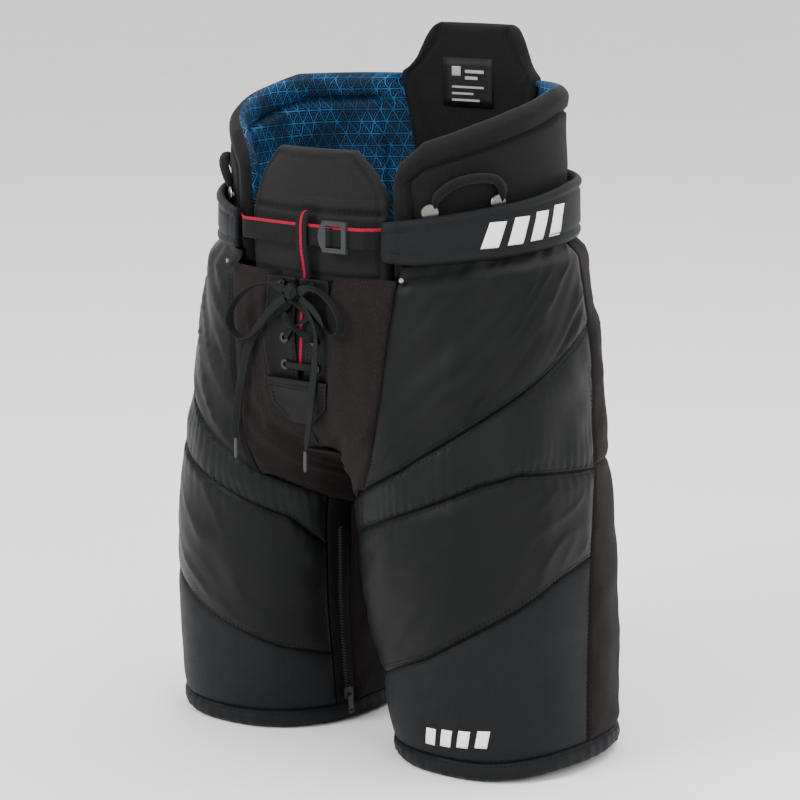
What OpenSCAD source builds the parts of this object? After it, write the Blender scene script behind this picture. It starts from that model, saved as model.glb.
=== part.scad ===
// Hockey pants standing on their hems: padded legs that swing on the hips, a laced fly,
// a belly pad, hip pads, a spine guard, an adjustable belt and inner-leg zips.
// Millimetres. +Z is up, -Y is the front and +X is the wearer's left.

/* [Overall] */
// Height of the hip joint axis above the hems
hip_z = 262; // [256:1:266]
// Radius of the arc on which each leg parts from the hips
parting_r = 138; // [137:0.5:139]
// Gap between a leg and the hips along that arc
parting_gap = 2; // [1.5:0.5:3]
// Half the width of the strip between the legs that belongs to the hips
centre_half_w = 24; // [22:1:24]

/* [Leg wall] */
// Thickness of the outer fabric with its thin foam
cloth_t = 3; // [2:0.5:3]
// Thickness of the thigh cap
cap_t = 2.5; // [2:0.5:3]
// Thickness of the thigh foam
thigh_foam_t = 11; // [9:1:12]
// Whole thickness of the leg wall at the hem
wall_t = 23; // [22:1:24]
// Height of the bound hem
hem_h = 9; // [7:1:10]

/* [Waist] */
// Thickness of the hip and spine foam
hip_foam_t = 13; // [10:1:14]
// Thickness of the hip and spine plates
plate_t = 2.4; // [1.8:0.2:2.4]
// Thickness of the hip bands
band_t = 9; // [7:1:9]
// Height of the belly pad's top edge
belly_top = 542; // [536:1:546]
// Height of the spine guard's top edge
spine_top = 638; // [630:1:640]

/* [Belt] */
// Height of the belt webbing's lower edge
belt_z = 460; // [458:1:462]
// Width of the belt webbing
belt_w = 19; // [17:1:20]
// Thickness of the belt webbing
belt_t = 1.6; // [1.4:0.1:1.8]

/* [Fly] */
// Inner radius of the lace eyelets
eyelet_r = 2.2; // [2:0.1:2.4]
// Distance from the middle of the fly to each column of eyelets
eyelet_x = 17; // [16:1:18]
// Width of the flat lace
lace_w = 8; // [6:0.5:9]
// Thickness of the flat lace
lace_t = 2.4; // [2:0.2:2.6]

/* [Fasteners] */
// Radius of the suspender buttons' heads
button_r = 7.7; // [7:0.1:8]
// Radius of the suspender buttons' necks
button_neck_r = 3; // [2.6:0.1:3.4]

/* [Hidden] */
$fn = 48;
eps = 0.01;
seam = 0.6;     // gap between neighbouring cloth panels
layer = 1.5;    // gap between the layers of the leg wall

// The body: a rounded section at each height, one for each side, that merge above the crotch.
// Height, sideways centre, half width, fore-and-aft centre, half depth
SECTIONS = [
    [  0, 127,  91,  0, 102],   // hem
    [ 90, 119,  92, -4, 112],
    [150, 111,  96, -7, 121],   // mid thigh
    [255,  98,  99, -6, 126],   // crotch
    [300,  80, 109, -3, 128],
    [360,  55, 130,  0, 130],   // hips
    [420,  25, 150,  0, 132],
    [460,   5, 162,  0, 134],   // waist
];
// The waist ring that the hip pads and the spine guard follow: height, half width, half depth
WAIST = [[430, 150, 126], [470, 152, 129], [520, 156, 132], [640, 154, 130]];
// The ring of the hip bands' outer face
BAND = [[400, 168, 144], [600, 168, 144]];
// The ring of the belly pad's outer face
BELLY = [[430, 140, 122], [446, 142, 126], [487, 142, 127], [495, 138, 121], [542, 136, 118]];

function column(table, k) = [for (row = table) [row[0], row[k]]];
SEC_CX = column(SECTIONS, 1);
SEC_AX = column(SECTIONS, 2);
SEC_CY = column(SECTIONS, 3);
SEC_AY = column(SECTIONS, 4);
leg_n = 2.3;
ring_n = 2.2;

function mix(a, b, t) = a + (b - a) * t;
function round_r(t, n) = pow(pow(abs(sin(t)), n) + pow(abs(cos(t)), n), -1 / n);
// A point on the body at angle t from the front (90 is outward), height z, moved out by off
function body(t, z, off) = let (r = round_r(t, leg_n)) [
    lookup(z, SEC_CX) + (lookup(z, SEC_AX) + off) * sin(t) * r,
    lookup(z, SEC_CY) - (lookup(z, SEC_AY) + off) * cos(t) * r,
    z
];
// A point on one of the waist rings
function ring(table, t, z, off) = let (r = round_r(t, ring_n)) [
    (lookup(z, column(table, 1)) + off) * sin(t) * r,
    -(lookup(z, column(table, 2)) + off) * cos(t) * r,
    z
];
// The angle on the front half at which a section of half width a and centre c reaches x
function angle_of(x, c, a, n) =
    let (v = (x - c) / a, p = pow(abs(v), n)) sign(v) * atan(pow(p / (1 - p), 1 / n));
function body_angle(x, z) = angle_of(x, lookup(z, SEC_CX), lookup(z, SEC_AX), leg_n);
// The height at which a leg's wall reaches radius r about the hip axis
function arc_z(t, off, r) =
    let (
        y0 = body(t, hip_z + 60, off)[1],
        z1 = hip_z + sqrt(max(r * r - y0 * y0, 0)),
        y1 = body(t, z1, off)[1],
        z2 = hip_z + sqrt(max(r * r - y1 * y1, 0)),
        y2 = body(t, z2, off)[1]
    ) hip_z + sqrt(max(r * r - y2 * y2, 0));

leg_top = function (t, off) arc_z(t, off, parting_r);
hips_bottom = function (t, off) arc_z(t, off, parting_r + parting_gap);
crotch_top = 205;       // top of the leg's inner wall, which clears the strip between the legs
centre_clear = 4;       // gap from that strip to a leg

// Seam lines: height against angle, from the inner leg round to the side
UPPER_SEAM = [[-57, 226], [-27, 246], [8, 274], [30, 297], [56, 327], [86, 360], [110, 384]];
GATHER_SEAM = [[-57, 180], [-40, 207], [-11, 226], [15, 243], [44, 264], [62, 270], [110, 259]];
LOWER_SEAM = [[-75, 66], [-38, 80], [5, 108], [37, 138], [78, 174], [101, 184]];
// Seam lines: angle or sideways place against height
SIDE_SEAM = [[21, 88], [95, 94], [183, 101], [258, 109], [330, 111], [450, 111]];
ZIP_SEAM = [[0, -69], [69, -65], [126, -61], [205, -55]];
GUSSET_SEAM = [[248, 58], [279, 71], [340, 82], [378, 86], [438, 93]];
zip_tape_angle = 12;

line = function (table, gap) function (t, off) lookup(t, table) + gap;
level = function (z) function (t, off) z;

// A closed slab between two grids of points, each given as a function of u and v
module slab(outer, inner, nu, nv, closed = false) {
    w = closed ? nu : nu + 1;
    h = nv + 1;
    n = w * h;
    points = concat(
        [for (j = [0:nv], i = [0:w - 1]) outer(i / nu, j / nv)],
        [for (j = [0:nv], i = [0:w - 1]) inner(i / nu, j / nv)]
    );
    at = function (i, j) (i % w) + j * w;
    faces = concat(
        [for (j = [0:nv - 1], i = [0:nu - 1]) each [
            [at(i, j), at(i, j + 1), at(i + 1, j + 1)],
            [at(i, j), at(i + 1, j + 1), at(i + 1, j)],
            [n + at(i, j), n + at(i + 1, j + 1), n + at(i, j + 1)],
            [n + at(i, j), n + at(i + 1, j), n + at(i + 1, j + 1)]
        ]],
        [for (i = [0:nu - 1]) each [
            [at(i, 0), at(i + 1, 0), n + at(i + 1, 0)],
            [at(i, 0), n + at(i + 1, 0), n + at(i, 0)],
            [at(i + 1, nv), at(i, nv), n + at(i, nv)],
            [at(i + 1, nv), n + at(i, nv), n + at(i + 1, nv)]
        ]],
        closed ? [] : [for (j = [0:nv - 1]) each [
            [at(0, j + 1), at(0, j), n + at(0, j)],
            [at(0, j + 1), n + at(0, j), n + at(0, j + 1)],
            [at(nu, j), at(nu, j + 1), n + at(nu, j + 1)],
            [at(nu, j), n + at(nu, j + 1), n + at(nu, j)]
        ]]
    );
    polyhedron(points, faces, convexity = 6);
}

// A grid on the body between two side lines (angle by height) and two end lines (height by angle)
grid_of = function (side0, side1, low, high, off) function (u, v)
    let (
        tm = mix(side0(300), side1(300), u),
        zm = mix(low(tm, off), high(tm, off), v),
        t = mix(side0(zm), side1(zm), u),
        z = mix(low(t, off), high(t, off), v)
    ) body(t, z, off);
module panel(side0, side1, low, high, out, thick, nu, nv) {
    slab(
        grid_of(side0, side1, low, high, out),
        grid_of(side0, side1, low, high, out - thick),
        nu, nv
    );
}
// The same on a waist ring, where the side lines may be angles that change with height
ring_grid = function (table, side0, side1, low, high, off) function (u, v)
    let (
        tm = mix(side0(500), side1(500), u),
        zm = mix(low(tm), high(tm), v),
        t = mix(side0(zm), side1(zm), u),
        z = mix(low(t), high(t), v)
    ) ring(table, t, z, off);
module ring_pad(table, side0, side1, low, high, out, thick, nu, nv) {
    slab(
        ring_grid(table, side0, side1, low, high, out),
        ring_grid(table, side0, side1, low, high, out - thick),
        nu, nv
    );
}
fixed = function (value) function (z) value;

module on_right(right) {
    if (right) mirror([1, 0, 0]) children();
    else children();
}

/* ---- Hips: outer cloth ---- */
hip_front = function (z) body_angle(lookup(z, GUSSET_SEAM), z) + 0.3;
hip_side = function (z) lookup(z, SIDE_SEAM);
hip_top = function (t, off) lookup(t, [[20, 438], [30, 442], [67, 447], [108, 453], [180, 455]]);
module hip_panel(right) {
    color("#202124") on_right(right)
        panel(hip_front, hip_side, hips_bottom, hip_top, 0, cloth_t, 9, 8);
}
seat_inner = function (z) 180 - body_angle(seam, z);
module seat_panel(right) {
    color("#26211f") on_right(right)
        panel(function (z) hip_side(z) + 0.4, seat_inner, hips_bottom, hip_top, 0, cloth_t, 8, 4);
}
fly_x = -4;             // the fly sits a little to the wearer's right
placket_w = 36;
placket_z0 = 340;
gusset_top = 431;
gusset_gap = 1.1;       // degrees between the front gusset and the hip panel
gusset_overlap = 3;     // how far the gusset's inner edge is from the placket's
module front_gusset(right) {
    edge = placket_w + gusset_overlap + (right ? -fly_x : fly_x);
    color("#2b2422") on_right(right)
        panel(
            function (z) body_angle(edge, z), function (z) hip_front(z) - gusset_gap,
            function (t, off) max(hips_bottom(t, off), placket_z0), level(gusset_top),
            0, cloth_t, 4, 10
        );
}

/* ---- Fly ---- */
// The fly's plane: its origin is low on the fly, x runs across, y up and z out to the front
fly_y = -129;
fly_tilt = 2.8;
placket_t = 2.5;
eyelet_rows = [13, 37, 61, 84];     // heights of the eyelets above placket_z0
module on_fly() {
    translate([fly_x, fly_y, placket_z0]) rotate([90 + fly_tilt, 0, 0]) children();
}
module fly_placket(side) {
    bore = eyelet_r + 1.1;
    color("#1f1f21") on_fly() difference() {
        linear_extrude(placket_t)
            polygon([for (p = [[4, 0], [24, 0], [placket_w, 30], [placket_w, 88], [34, 91], [4, 91]])
                [side * p[0], p[1]]]);
        for (y = eyelet_rows) translate([side * eyelet_x, y, -1]) cylinder(r = bore, h = placket_t + 2);
    }
}
module eyelets() {
    color("#6f7276") on_fly() for (side = [-1, 1], y = eyelet_rows)
        translate([side * eyelet_x, y, 0]) rotate_extrude()
            polygon([
                [eyelet_r, 0.1], [eyelet_r + 1, 0.1], [eyelet_r + 1, placket_t + 0.05],
                [eyelet_r + 2.4, placket_t + 0.05], [eyelet_r + 2.4, placket_t + 0.9],
                [eyelet_r, placket_t + 0.9]
            ]);
}
module fly_tongue() {
    color("#1b1b1d") on_fly() translate([0, 0, -7])
        linear_extrude(4) translate([-26, 4]) square([52, 88]);
}
base_z0 = 264;
module fly_base() {
    // The padded flap below the laces, down to the crotch
    color("#1d1d1f") translate([-centre_half_w, 0, 0]) rotate([90, 0, 90])
        linear_extrude(2 * centre_half_w)
            polygon([[-110, base_z0], [-121, 300], [-129, 337], [-124, 337], [-115, 300], [-104, base_z0]]);
}
module crotch_gusset() {
    color("#241f1e") translate([-centre_half_w, 0, 0]) rotate([90, 0, 90])
        linear_extrude(2 * centre_half_w)
            polygon([
                [-110, 262.5], [-60, 253], [0, 250], [60, 253], [104, 262], [121, 306],
                [117, 306], [101, 265], [60, 256], [0, 253], [-60, 256], [-107, 263.2]
            ]);
}
// A strap that follows a line in the plane x = const: the line, its thickness and its width
module strap_yz(line, thick, x0, x1) {
    back = [for (k = [len(line) - 1:-1:0]) line[k] + [thick, 0]];
    translate([x0, 0, 0]) rotate([90, 0, 90]) linear_extrude(x1 - x0) polygon(concat(line, back));
}
module centre_strap() {
    color("#1a1a1a") strap_yz(
        [[-129.5, 489], [-136.6, 484], [-137.4, 470], [-137.2, 455], [-133.6, 440], [-132.8, 432],
            [-128.9, 350]],
        1.5, -3, 9
    );
}

/* ---- Laces ---- */
// The same route with a point added halfway along each span, on a smooth curve
function smooth_route(p) = let (last = len(p) - 1) [
    for (k = [0:last - 1]) each [
        p[k],
        (9 * p[k] + 9 * p[k + 1] - p[max(k - 1, 0)] - p[min(k + 2, last)]) / 16
    ],
    p[last]
];
// A flat cord swept along a route, its width lying across the front of the object
function unit(v) = v / norm(v);
function tangent(route, k) = unit(route[min(k + 1, len(route) - 1)] - route[max(k - 1, 0)]);
module flat_cord(route, width, thick, front = [0, -1, 0], sides = 8) {
    rings = [for (k = [0:len(route) - 1])
        let (t = tangent(route, k), across = unit(cross(t, front)), out = cross(across, t))
            [for (s = [0:sides - 1])
                route[k] + across * (width / 2) * cos(360 * s / sides)
                    + out * (thick / 2) * sin(360 * s / sides)]];
    last = len(route) - 1;
    faces = concat(
        [[for (s = [0:sides - 1]) s]],
        [for (k = [0:last - 1], s = [0:sides - 1]) each [
            [k * sides + s, (k + 1) * sides + s, k * sides + (s + 1) % sides],
            [(k + 1) * sides + s, (k + 1) * sides + (s + 1) % sides, k * sides + (s + 1) % sides]
        ]],
        [[for (s = [sides - 1:-1:0]) last * sides + s]]
    );
    polyhedron([for (r = rings) each r], faces, convexity = 8);
}
KNOT = [-2, -146, 420];
LOOP_LEFT = [
    [6, -146, 421], [17, -147, 425], [29, -148, 424], [40, -148, 418], [48, -147, 409],
    [52, -146, 399], [49, -144, 390], [41, -143, 386], [33, -142, 390], [26, -142, 398],
    [18, -143, 407], [7, -145, 415]
];
LOOP_RIGHT = [
    [-10, -146, 421], [-22, -148, 425], [-36, -149, 424], [-50, -149, 418], [-62, -148, 409],
    [-71, -147, 398], [-75, -145, 387], [-71, -143, 377], [-62, -142, 373], [-52, -142, 378],
    [-42, -142, 388], [-31, -143, 399], [-20, -144, 408], [-10, -145, 414]
];
TAIL_LEFT = [
    [1, -141, 412], [9, -139.5, 403], [16, -139, 393], [19, -139, 382], [19, -139.5, 368],
    [18, -140, 352], [16, -140.5, 334], [14, -141, 316], [12, -141.5, 298], [9, -142, 279]
];
TAIL_RIGHT = [
    [-7, -141, 412], [-16, -139.5, 405], [-28, -138.5, 398], [-40, -138.5, 390],
    [-50, -138.5, 379], [-57, -139, 366], [-62, -139.5, 350], [-66, -140, 332],
    [-69, -140.5, 315], [-71, -141, 298], [-71, -142, 281]
];
aglet_l = 17;
module lace(route) {
    color("#161a18") flat_cord(smooth_route(route), lace_w, lace_t);
}
knot_r = 7.5;
module lace_knot() {
    color("#161a18") translate(KNOT) scale([1, 0.75, 1]) sphere(r = knot_r, $fn = 20);
}
// One crossing of the lacing, from eyelet a to eyelet b of the fly's plane
lace_lie = 4.7;         // the lacing's middle above the fly's plane, at an eyelet
under_lift = 1;
over_lift = 3.6;
bar_width = 0.7;        // share of the lace's width, where it is drawn tight
module lace_bar(a, b, lift) {
    flat_cord(
        [for (k = [0:6]) let (u = k / 6) [
            mix(a[0], b[0], u), mix(a[1], b[1], u), lace_lie + lift * sin(180 * u)
        ]],
        lace_w * bar_width, lace_t, [0, 0, 1]
    );
}
module lace_lacing() {
    rows = eyelet_rows;
    x = eyelet_x;
    color("#161a18") on_fly() {
        lace_bar([-x, rows[0]], [x, rows[0]], under_lift);
        lace_bar([-x, rows[1]], [x, rows[2]], under_lift);
        lace_bar([x, rows[1]], [-x, rows[2]], over_lift);
    }
}
module aglet(end) {
    color("#85888b") translate(end) translate([0, 0, -aglet_l]) difference() {
        cylinder(r = 2.2, h = aglet_l, $fn = 24);
        translate([0, 0, -1]) cylinder(r = 1, h = 3, $fn = 24);
    }
}

/* ---- Waist ---- */
belly_half = function (z) lookup(z, [[430, 70], [502, 70], [516, 64], [542, 42]]);
belly_side = function (side) function (z)
    side * angle_of(belly_half(z), 0, lookup(z, column(BELLY, 1)), ring_n);
module belly_pad() {
    color("#2a2a2b")
        ring_pad(BELLY, belly_side(-1), belly_side(1), fixed(433), fixed(belly_top), 0, 11, 10, 8);
}
belt_y = -134;
BELT = [[0, belt_y], [58, belt_y], [70, -128.5], [77, -121.5], [84, -116], [92, -110.5], [106, -101]];
module belt_webbing() {
    front = concat(
        [for (k = [len(BELT) - 1:-1:1]) [-BELT[k][0], BELT[k][1]]],
        [for (k = [1:len(BELT) - 1]) BELT[k]]
    );
    back = [for (k = [len(front) - 1:-1:0]) front[k] + [0, belt_t]];
    color("#191a1a") translate([0, 0, belt_z]) linear_extrude(belt_w) polygon(concat(front, back));
}
buckle_x = 36.5;
module buckle() {
    // A ladder buckle: a frame in front of the webbing and a bar behind it
    z0 = belt_z - 4;
    h = belt_w + 8;
    frame_y = belt_y - 0.5;
    color("#55585b") {
        translate([buckle_x, frame_y, z0 + h / 2]) rotate([90, 0, 0]) linear_extrude(3.4) difference() {
            union() {
                translate([-11, -h / 2]) square([26, h]);
                intersection() {
                    translate([2, 0]) circle(r = 17.5);
                    translate([-20, -h / 2 + 1]) square([20, h - 2]);
                }
            }
            translate([-7, -h / 2 + 4]) square([17, h - 8]);
        }
        for (z = [z0 + 0.2, z0 + h - 3.2])
            translate([buckle_x - 2, frame_y - eps, z]) cube([4, belt_t + 2.6, 3]);
        translate([buckle_x - 2, belt_y + belt_t + 0.6, z0 + 0.2]) cube([4, 1.5, h - 0.4]);
    }
}
module waist_casing() {
    // The casing that the hip bands are sewn to, from one hip round the back to the other
    color("#1c1c1d") slab(
        function (u, v) ring(WAIST, mix(52, 308, u), mix(457, 486, v), 2.2),
        function (u, v) ring(WAIST, mix(52, 308, u), mix(457, 486, v), 0.6),
        26, 1
    );
}
pad_off = -plate_t - 1.4;      // the foam's outer face, behind the plate
plate_off = -0.3;
WING_TOP = [[29, 500], [34, 534], [42, 554], [61, 570], [77, 580], [92, 587], [106, 592], [143, 592]];
wing_front = 33;
wing_back = 146;
wing_low = 432;
plate_margin = 8;
wing_top = function (t) lookup(t, WING_TOP);
module hip_pad(right) {
    color("#242425") on_right(right)
        ring_pad(
            WAIST, fixed(wing_front), fixed(wing_back), fixed(wing_low), wing_top,
            pad_off, hip_foam_t, 12, 6
        );
}
module hip_plate(right) {
    color("#3a3d40") on_right(right)
        ring_pad(
            WAIST, fixed(wing_front + 3), fixed(wing_back - 2),
            fixed(wing_low + plate_margin), function (t) wing_top(t) - plate_margin, plate_off, plate_t, 12, 6
        );
}
spine_half = function (z) lookup(z, [[470, 66], [514, 70], [592, 84], [600, 66], [628, 58], [638, 48]]);
spine_side = function (side) function (z)
    180 - side * angle_of(spine_half(z), 0, lookup(z, column(WAIST, 1)), ring_n);
spine_low = 474;
spine_plate_half = 16;  // degrees
module spine_guard() {
    color("#191919") ring_pad(
        WAIST, spine_side(1), spine_side(-1), fixed(spine_low), fixed(spine_top),
        pad_off, hip_foam_t, 10, 10
    );
}
module spine_plate() {
    color("#3a3d40") ring_pad(
        WAIST, fixed(180 - spine_plate_half), fixed(180 + spine_plate_half),
        fixed(spine_low + 2 * plate_margin), fixed(spine_top - 2 * plate_margin), plate_off, plate_t, 6, 8
    );
}
tailbone_t = 11;
module tailbone_pad() {
    color("#202021") slab(
        function (u, v) ring(WAIST, mix(162, 198, u), mix(356, 466, v), -cloth_t - seam),
        function (u, v) ring(WAIST, mix(162, 198, u), mix(356, 466, v), -cloth_t - seam - tailbone_t),
        6, 2
    );
}
band_low = function (t) lookup(t, [[28, 449], [39, 447], [67, 451], [108, 457], [150, 459]]);
band_high = function (t) lookup(t, [[28, 486], [39, 489], [79, 502], [105, 511], [150, 513]]);
module hip_band(right) {
    color("#23262b") on_right(right)
        ring_pad(BAND, fixed(28.5), fixed(152), band_low, band_high, 0, band_t, 14, 2);
}

/* ---- Fasteners and small parts ---- */
// Places children on the waist ring at angle t, height z, with their z axis along the outward normal
module on_waist(t, z, off) {
    p = ring(WAIST, t, z, off);
    nx = pow(sin(t), ring_n - 1) / lookup(z, column(WAIST, 1));
    ny = pow(cos(t), ring_n - 1) / lookup(z, column(WAIST, 2));
    translate(p) rotate([90, 0, atan2(nx, ny)]) children();
}
BUTTONS = [[44, 492], [68, 499]];
button_h = 3.6;
module suspender_buttons() {
    color("#c9c9c9") for (right = [false, true], b = BUTTONS)
        on_right(right) on_waist(b[0], b[1], 0.1) rotate_extrude()
            polygon([
                [0, 0], [button_neck_r + 1.5, 0], [button_neck_r + 1.5, 0.3], [button_neck_r, 0.3],
                [button_neck_r, 2.3], [button_r - 0.4, 2.3], [button_r, 2.8],
                [button_r - 0.6, button_h], [0, button_h]
            ]);
}
SUSPENDER_LOOP = [[50, 500], [49, 508], [51, 515], [55, 520], [60, 521.5], [65, 520], [68.5, 516], [70, 511]];
module suspender_loops() {
    color("#141614") for (right = [false, true]) on_right(right)
        tube([for (p = SUSPENDER_LOOP) ring(WAIST, p[0], p[1], 4.8)], 4.2);
}
// A round cord swept along a route that never runs straight out of the front
module tube(route, r, sides = 8) {
    flat_cord(route, 2 * r, 2 * r, [0.7, -0.7, 0.1], sides);
}
module band_rivets() {
    color("#c8c4bc") for (right = [false, true]) on_right(right)
        translate(body(30, 436, 0.4)) rotate([90, 0, 28]) cylinder(r = 2, h = 1.5, $fn = 24);
}
label_t = 0.6;
label_off = pad_off - hip_foam_t - 0.4;
module care_label() {
    color("#0e0e0e") slab(
        function (u, v) ring(WAIST, mix(172, 188, u), mix(560, 606, v), label_off),
        function (u, v) ring(WAIST, mix(172, 188, u), mix(560, 606, v), label_off - label_t),
        3, 1
    );
}

/* ---- Legs ---- */
centre_angle = function (z) body_angle(centre_half_w + centre_clear, z);
module thigh_yoke(right) {
    color("#222326") on_right(right)
        panel(
            function (z) max(-46, centre_angle(z)), fixed(103),
            line(UPPER_SEAM, seam), leg_top, 0, cloth_t, 14, 4
        );
}
module gather_band(right) {
    color("#1e2124") on_right(right)
        panel(
            fixed(-46), function (z) hip_side(z) - 0.5,
            line(GATHER_SEAM, seam), line(UPPER_SEAM, -seam), 0, cloth_t, 14, 2
        );
}
module thigh_panel(right) {
    color("#202225") on_right(right)
        panel(
            function (z) lookup(z, ZIP_SEAM) + 0.5, function (z) hip_side(z) - 0.5,
            line(LOWER_SEAM, seam), line(GATHER_SEAM, -seam), 0, cloth_t, 14, 4
        );
}
module lower_panel(right) {
    color("#1b2026") on_right(right)
        panel(
            function (z) lookup(z, ZIP_SEAM) + 0.5, function (z) hip_side(z) - 0.5,
            level(hem_h + seam), line(LOWER_SEAM, -seam), 0, cloth_t, 14, 3
        );
}
module hem_band(right) {
    // A bound rim all round the leg opening, with a small bevel
    color("#16181b") on_right(right) slab(
        function (u, v) body(360 * u, hem_h * v, v == 0 ? -1.2 : 0),
        function (u, v) body(360 * u, hem_h * v, -wall_t + (v == 0 ? 1.2 : 0)),
        32, 3, true
    );
}
back_inner = function (z) min(219, 180 - centre_angle(z));
module back_panel(right) {
    color("#231e1d") on_right(right)
        panel(
            function (z) hip_side(z) + 0.5, back_inner,
            level(hem_h + seam), leg_top, 0, cloth_t, 10, 6
        );
}
module inner_panel(right) {
    color("#231e1d") on_right(right)
        panel(
            fixed(220), function (z) 360 + lookup(z, ZIP_SEAM) - zip_tape_angle - 1.5,
            level(hem_h + seam), level(crotch_top), 0, cloth_t, 6, 4
        );
}
module thigh_cap(right) {
    color("#3a3d40") on_right(right)
        panel(fixed(-15), fixed(85), level(60), level(225), -cloth_t - layer, cap_t, 9, 4);
}
module thigh_pad(right) {
    color("#dfe3e6") on_right(right)
        panel(
            fixed(-30), fixed(100), level(hem_h + 3), level(238),
            -cloth_t - 2 * layer - cap_t, thigh_foam_t, 12, 5
        );
}
zip_low = 24;
zip_high = 196;
module zip_tape(right) {
    color("#121314") on_right(right)
        panel(
            function (z) lookup(z, ZIP_SEAM) - zip_tape_angle, function (z) lookup(z, ZIP_SEAM) - 0.5,
            level(hem_h + seam), level(crotch_top - 2), -0.4, 1.6, 3, 4
        );
}
// The zip runs straight up the middle of its tape, and its slider's faces follow these directions
slider_gap = 2;
function zip_at(z) = body(lookup(z, ZIP_SEAM) - zip_tape_angle / 2, z, 0);
zip_up = unit(zip_at(zip_high) - zip_at(zip_low));
zip_side = [-0.955, -0.25, 0];
zip_out = unit(zip_side - (zip_side * zip_up) * zip_up);
zip_across = cross(zip_out, zip_up);
slider_w = 9;
slider_h = 12;
slider_t = 2.6;
module zip_slider(right) {
    // The slider's body, its bridge and the pull tab that hangs down over the tape
    at = zip_at(zip_low) + slider_gap * zip_out;
    color("#4a4d50") on_right(right) multmatrix([
        for (k = [0:2]) [zip_across[k], zip_out[k], zip_up[k], at[k]]
    ]) {
        difference() {
            translate([-slider_w / 2, 0, 0]) cube([slider_w, slider_t, slider_h]);
            for (side = [-1, 1]) translate([side * slider_w / 2, -1, slider_h])
                rotate([0, 45, 0]) cube([4, 2 * slider_t + 2, 4], center = true);
        }
        translate([-1.2, slider_t - eps, 3]) cube([2.4, 2.6, 2]);
        translate([-2.6, slider_t + 0.6, -15]) difference() {
            cube([5.2, 1.4, 18.5]);
            translate([2.6, -1, 3]) rotate([-90, 0, 0]) cylinder(r = 1.4, h = 4, $fn = 24);
        }
    }
}

hip_panel(false);  // left_hip_panel
hip_panel(true);  // right_hip_panel
seat_panel(false);  // left_seat_panel
seat_panel(true);  // right_seat_panel
front_gusset(false);  // left_front_gusset
front_gusset(true);  // right_front_gusset
fly_placket(1);  // left_fly_placket
fly_placket(-1);  // right_fly_placket
fly_base();
fly_tongue();
crotch_gusset();
eyelets();
lace_lacing();
lace_knot();
lace(LOOP_LEFT);  // lace_loop_left
lace(LOOP_RIGHT);  // lace_loop_right
lace(TAIL_LEFT);  // lace_tail_left
lace(TAIL_RIGHT);  // lace_tail_right
aglet(TAIL_LEFT[len(TAIL_LEFT) - 1]);  // aglet_left
aglet(TAIL_RIGHT[len(TAIL_RIGHT) - 1]);  // aglet_right
belly_pad();
centre_strap();
belt_webbing();
buckle();
waist_casing();
hip_pad(false);  // left_hip_pad
hip_pad(true);  // right_hip_pad
hip_plate(false);  // left_hip_plate
hip_plate(true);  // right_hip_plate
spine_guard();
spine_plate();
tailbone_pad();
hip_band(false);  // left_hip_band
hip_band(true);  // right_hip_band
suspender_loops();
suspender_buttons();
band_rivets();
care_label();
thigh_yoke(false);  // left_thigh_yoke
gather_band(false);  // left_gather_band
thigh_panel(false);  // left_thigh_panel
lower_panel(false);  // left_lower_panel
hem_band(false);  // left_hem_band
back_panel(false);  // left_back_panel
inner_panel(false);  // left_inner_panel
thigh_cap(false);  // left_thigh_cap
thigh_pad(false);  // left_thigh_pad
zip_tape(false);  // left_zip_tape
zip_slider(false);  // left_zip_slider
thigh_yoke(true);  // right_thigh_yoke
gather_band(true);  // right_gather_band
thigh_panel(true);  // right_thigh_panel
lower_panel(true);  // right_lower_panel
hem_band(true);  // right_hem_band
back_panel(true);  // right_back_panel
inner_panel(true);  // right_inner_panel
thigh_cap(true);  // right_thigh_cap
thigh_pad(true);  // right_thigh_pad
zip_tape(true);  // right_zip_tape
zip_slider(true);  // right_zip_slider
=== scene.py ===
import math

import bpy
import numpy as np
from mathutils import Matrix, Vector
from mathutils.bvhtree import BVHTree


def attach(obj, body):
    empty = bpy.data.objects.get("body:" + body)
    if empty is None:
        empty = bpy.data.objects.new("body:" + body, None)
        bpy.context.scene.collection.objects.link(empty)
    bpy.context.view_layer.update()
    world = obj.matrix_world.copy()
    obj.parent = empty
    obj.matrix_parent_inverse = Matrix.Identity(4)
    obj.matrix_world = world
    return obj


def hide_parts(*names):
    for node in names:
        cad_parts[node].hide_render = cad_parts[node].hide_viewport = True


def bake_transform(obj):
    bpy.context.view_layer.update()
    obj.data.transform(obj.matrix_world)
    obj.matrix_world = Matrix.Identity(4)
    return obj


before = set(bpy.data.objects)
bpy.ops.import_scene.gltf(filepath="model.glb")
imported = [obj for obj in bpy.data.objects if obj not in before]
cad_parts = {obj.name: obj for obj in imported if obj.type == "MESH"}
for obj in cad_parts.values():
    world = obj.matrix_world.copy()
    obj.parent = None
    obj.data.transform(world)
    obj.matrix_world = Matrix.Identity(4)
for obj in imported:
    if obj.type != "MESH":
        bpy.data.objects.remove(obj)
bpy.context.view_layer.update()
MM = 0.001

# ---------------------------------------------------------------- camera
CAMERA_AZIMUTH, CAMERA_ELEVATION = math.radians(38), math.radians(11)
CAMERA_DISTANCE = 2.5
CAMERA_LENS = 123.75
CAMERA_TARGET = Vector((0.001, 0.002, 0.303))


def make_camera():
    back = Vector((
        math.sin(CAMERA_AZIMUTH) * math.cos(CAMERA_ELEVATION),
        -math.cos(CAMERA_AZIMUTH) * math.cos(CAMERA_ELEVATION),
        math.sin(CAMERA_ELEVATION),
    ))
    data = bpy.data.cameras.new("camera")
    data.lens = CAMERA_LENS
    camera = bpy.data.objects.new("camera", data)
    camera.location = CAMERA_TARGET + back * CAMERA_DISTANCE
    camera.rotation_euler = back.to_track_quat("Z", "Y").to_euler()
    bpy.context.collection.objects.link(camera)
    bpy.context.scene.camera = camera


make_camera()

# ---------------------------------------------------------------- small maths


def lerp(a, b, t):
    return a + (b - a) * t


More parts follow.
